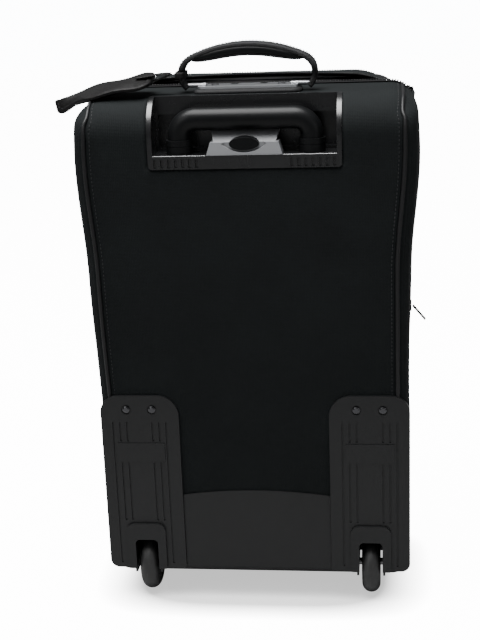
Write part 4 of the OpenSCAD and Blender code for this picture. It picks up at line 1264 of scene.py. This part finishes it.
@dataclass
class PanPaintedHighlights:
    """Painted highlights on the handle pan: pale beads along its ledge and along its lower rim, where those
    edges catch the light.
    """

    wardrobe: Wardrobe
    y: float = -0.1152
    half: float = 0.1005
    ledge_z: float = 0.5143
    rim_z: float = 0.5012
    latch_half: float = 0.0405

    def build(self) -> None:
        """Each painted highlight is a straight pale bead of 0.55 mm radius that follows the pan's edge."""
        spans = ((-self.half, -self.latch_half, self.ledge_z), (self.latch_half, self.half, self.ledge_z),
                 (-self.half + 0.003, self.half - 0.003, self.rim_z))
        for k, (x0, x1, z) in enumerate(spans):
            x = np.linspace(x0, x1, 40)
            path = np.column_stack([x, np.full(40, self.y), np.full(40, z)])
            # the pale pan_lip finish paints the edge's highlight onto this bead
            lip = sweep(f"pan_lip_{k}", path, round_section(0.00055, 10), (0, -1, 0))
            fit_out(lip, "pan_lip", "case", self.wardrobe)


@dataclass
class Inside:
    """Tube cover, packing straps and buckles inside the back half."""

    wardrobe: Wardrobe
    cover_y: float = -0.082

    def build(self) -> None:
        """The cover is a slack sleeve over the tubes; each strap hangs in a shallow wave."""
        w = self.wardrobe
        z = np.linspace(0.062, 0.498, 60)
        prof = np.concatenate([[[-0.0855, -0.1095]], arc(-0.0785, self.cover_y - 0.007, 0.007, 180, 90, 8),
                               arc(0.0785, self.cover_y - 0.007, 0.007, 90, 0, 8), [[0.0855, -0.1095]]])
        prof = resample(prof, np.linspace(0, length_of(prof), 60))
        grid = (len(z), len(prof))
        p = np.stack([np.broadcast_to(v, grid) for v in (prof[None, :, 0], prof[None, :, 1], z[:, None])],
                     axis=-1)
        p[..., 1] -= 0.0012 * (1 + ripple(p, 0.07, 61)) * smooth(p[..., 1], -0.1, -0.085)
        uv = np.stack([np.broadcast_to(np.linspace(0, 0.22, len(prof))[None], grid), p[..., 2]], axis=-1)
        fit_out(skin("tube_sleeve", p, uv, 0.0012, (0, -0.11, 0.3)), "lining_cloth", "case", w,
                ["tube_cover"])
        half = 0.163
        for k, zz in enumerate((0.178, 0.368)):
            x = np.linspace(-half, half, 90)
            y = self.cover_y + 0.0022 + 0.0006 * np.sin(x * 60 + k)
            path = np.column_stack([x, y, zz - 0.003 * np.cos(x / half * math.pi / 2)])
            fit_out(sweep(f"packing_strap_{k}", path, flat_section(0.0245, 0.0012, 12, 6.0), (0, 1, 0)),
                    "webbing", "case", w, [] if k else ["packing_straps"])
        w.dress_node("strap_buckles", "kick_satin")
        w.dress_node("tube_foot_bracket", "kick_satin")


NODE_FINISHES: dict[str, str] = {
    "kick_plate": "kick_satin", "handle_pan": "pan_gloss", "latch_cover": "latch_satin",
    "outer_tube_left": "tube_metal", "outer_tube_right": "tube_metal", "mid_tube_left": "tube_metal",
    "mid_tube_right": "tube_metal", "inner_tube_left": "tube_metal", "inner_tube_right": "tube_metal",
    "wheel_housing_left": "housing_satin", "wheel_housing_right": "housing_satin",
    "wheel_insert_left": "kick_satin", "wheel_insert_right": "kick_satin", "housing_screws": "screw_black",
    "axle_left": "screw_metal", "axle_right": "screw_metal", "button_spring": "screw_metal",
    "mid_collars": "grip_gloss", "pull_grip": "grip_gloss", "release_button": "grip_gloss",
    "tyre_left": "tyre_urethane", "tyre_right": "tyre_urethane", "hub_bearings_left": "hub_plastic",
    "hub_bearings_right": "hub_plastic", "expansion_slider": "slider_enamel", "main_slider": "slider_enamel",
    "expansion_pull": "grip_gloss", "main_pull": "grip_gloss",
}


# ---------------------------------------------------------------- stage

@dataclass
class Studio:
    """Pale floor with a painted contact shadow under the case, soft lights and the camera."""

    camera_at: tuple[float, float, float] = (0.1508, -1.4537, 0.7433)
    yaw: float = math.radians(6.89)
    pitch: float = math.radians(-16.86)
    roll: float = math.radians(-2.26)
    lens: float = 36 * 1300 / 640
    white: float = 14.0
    ambient: float = 0.16

    def camera(self) -> None:
        """The camera's three axes from yaw, pitch and roll, as columns of its matrix."""
        cy, sy, cp, sp = math.cos(self.yaw), math.sin(self.yaw), math.cos(self.pitch), math.sin(self.pitch)
        fwd = Vector((-sy * cp, cy * cp, sp))
        right = Vector((cy, sy, 0))
        up = right.cross(fwd)
        cr, sr = math.cos(self.roll), math.sin(self.roll)
        r = right * cr + up * sr
        u = up * cr - right * sr
        cam = bpy.data.cameras.new("view_camera")
        cam.lens, cam.sensor_width, cam.sensor_fit = self.lens, 36, "AUTO"
        cam.clip_start = 0.05
        obj = bpy.data.objects.new("view_camera", cam)
        obj.matrix_world = Matrix((
            (r.x, u.x, -fwd.x, self.camera_at[0]), (r.y, u.y, -fwd.y, self.camera_at[1]),
            (r.z, u.z, -fwd.z, self.camera_at[2]), (0, 0, 0, 1)))
        bpy.context.scene.collection.objects.link(obj)
        bpy.context.scene.camera = obj

    def light(self, name: str, at: Sequence[float], to: Sequence[float], size: float, power: float) -> None:
        """One square area light aimed at a point."""
        data = bpy.data.lights.new(name, "AREA")
        data.shape, data.size, data.energy = "SQUARE", size, power
        obj = bpy.data.objects.new(name, data)
        obj.location = at
        obj.rotation_euler = (Vector(to) - Vector(at)).to_track_quat("-Z", "Y").to_euler()
        bpy.context.scene.collection.objects.link(obj)

    def build(self) -> None:
        """Floor with its painted contact shadow, world, lights and camera."""
        x, y = np.meshgrid([-6.0, 6.0], [-6.0, 6.0], indexing="ij")
        p = np.stack([x, y, np.zeros_like(x)], axis=-1)
        floor = new_object("floor", p.reshape(-1, 3), grid_faces(2, 2, False, False, None))
        mat = bpy.data.materials.new("pale_floor")
        mat.use_nodes = True
        shader = mat.node_tree.nodes["Principled BSDF"]
        shader.inputs["Base Color"].default_value = (0.42, 0.42, 0.42, 1)
        shader.inputs["Emission Color"].default_value = (1, 1, 1, 1)
        t = Tree(mat.node_tree)
        seen = t.add("ShaderNodeLightPath").outputs["Is Camera Ray"]
        at = t.add("ShaderNodeSeparateXYZ")
        t.link(t.add("ShaderNodeTexCoord").outputs["Object"], at.inputs[0])
        # Painted contact shadow: the floor's camera-only glow is dimmed in a soft rounded patch under the
        # case.
        across = t.math("ABSOLUTE", t.math("DIVIDE", at.outputs[0], 0.185))
        deep = t.math("ABSOLUTE", t.math("DIVIDE", t.math("ADD", at.outputs[1], 0.045), 0.115))
        far = t.math("ADD", t.math("POWER", across, 4.0), t.math("POWER", deep, 4.0))
        painted_shadow = t.math("MULTIPLY", t.math("SUBTRACT", 1.35, far, True), 0.94)
        lit = t.math("MULTIPLY", t.math("SUBTRACT", 1.0, painted_shadow), self.white * 0.97)
        t.link(t.math("MULTIPLY", seen, lit), shader.inputs["Emission Strength"])
        shader.inputs["Roughness"].default_value = 0.7
        shader.inputs["Specular IOR Level"].default_value = 0.2
        floor.data.materials.append(mat)
        world = bpy.data.worlds.new("studio")
        world.use_nodes = True
        t = Tree(world.node_tree)
        back = world.node_tree.nodes["Background"]
        back.inputs[0].default_value = (0.96, 0.98, 1.0, 1)
        seen = t.add("ShaderNodeLightPath").outputs["Is Camera Ray"]
        glow = t.math("MULTIPLY", seen, self.white - self.ambient)
        t.link(t.math("ADD", glow, self.ambient), back.inputs[1])
        bpy.context.scene.world = world
        self.light("top", (-0.25, -0.35, 2.3), (0, -0.05, 0.3), 1.5, 195)
        self.light("key", (-1.5, -1.7, 1.9), (0, 0, 0.3), 1.0, 13)
        self.light("fill", (1.9, -1.4, 1.0), (0, 0, 0.3), 1.0, 5)
        self.camera()


def main() -> None:
    """Builds every sub-assembly in order."""
    logging.basicConfig(level=logging.INFO, format="%(name)s %(message)s")
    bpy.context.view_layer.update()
    wardrobe = Wardrobe()
    for part in (BackHalf, FrontHalf, Lid, CarryHandle, SideHandle, LuggageTag, PanPaintedHighlights, Inside):
        part(wardrobe).build()
    for node, finish in NODE_FINISHES.items():
        wardrobe.dress_node(node, finish)
    Studio().build()


if __name__ == "__main__":
    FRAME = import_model()
    main()
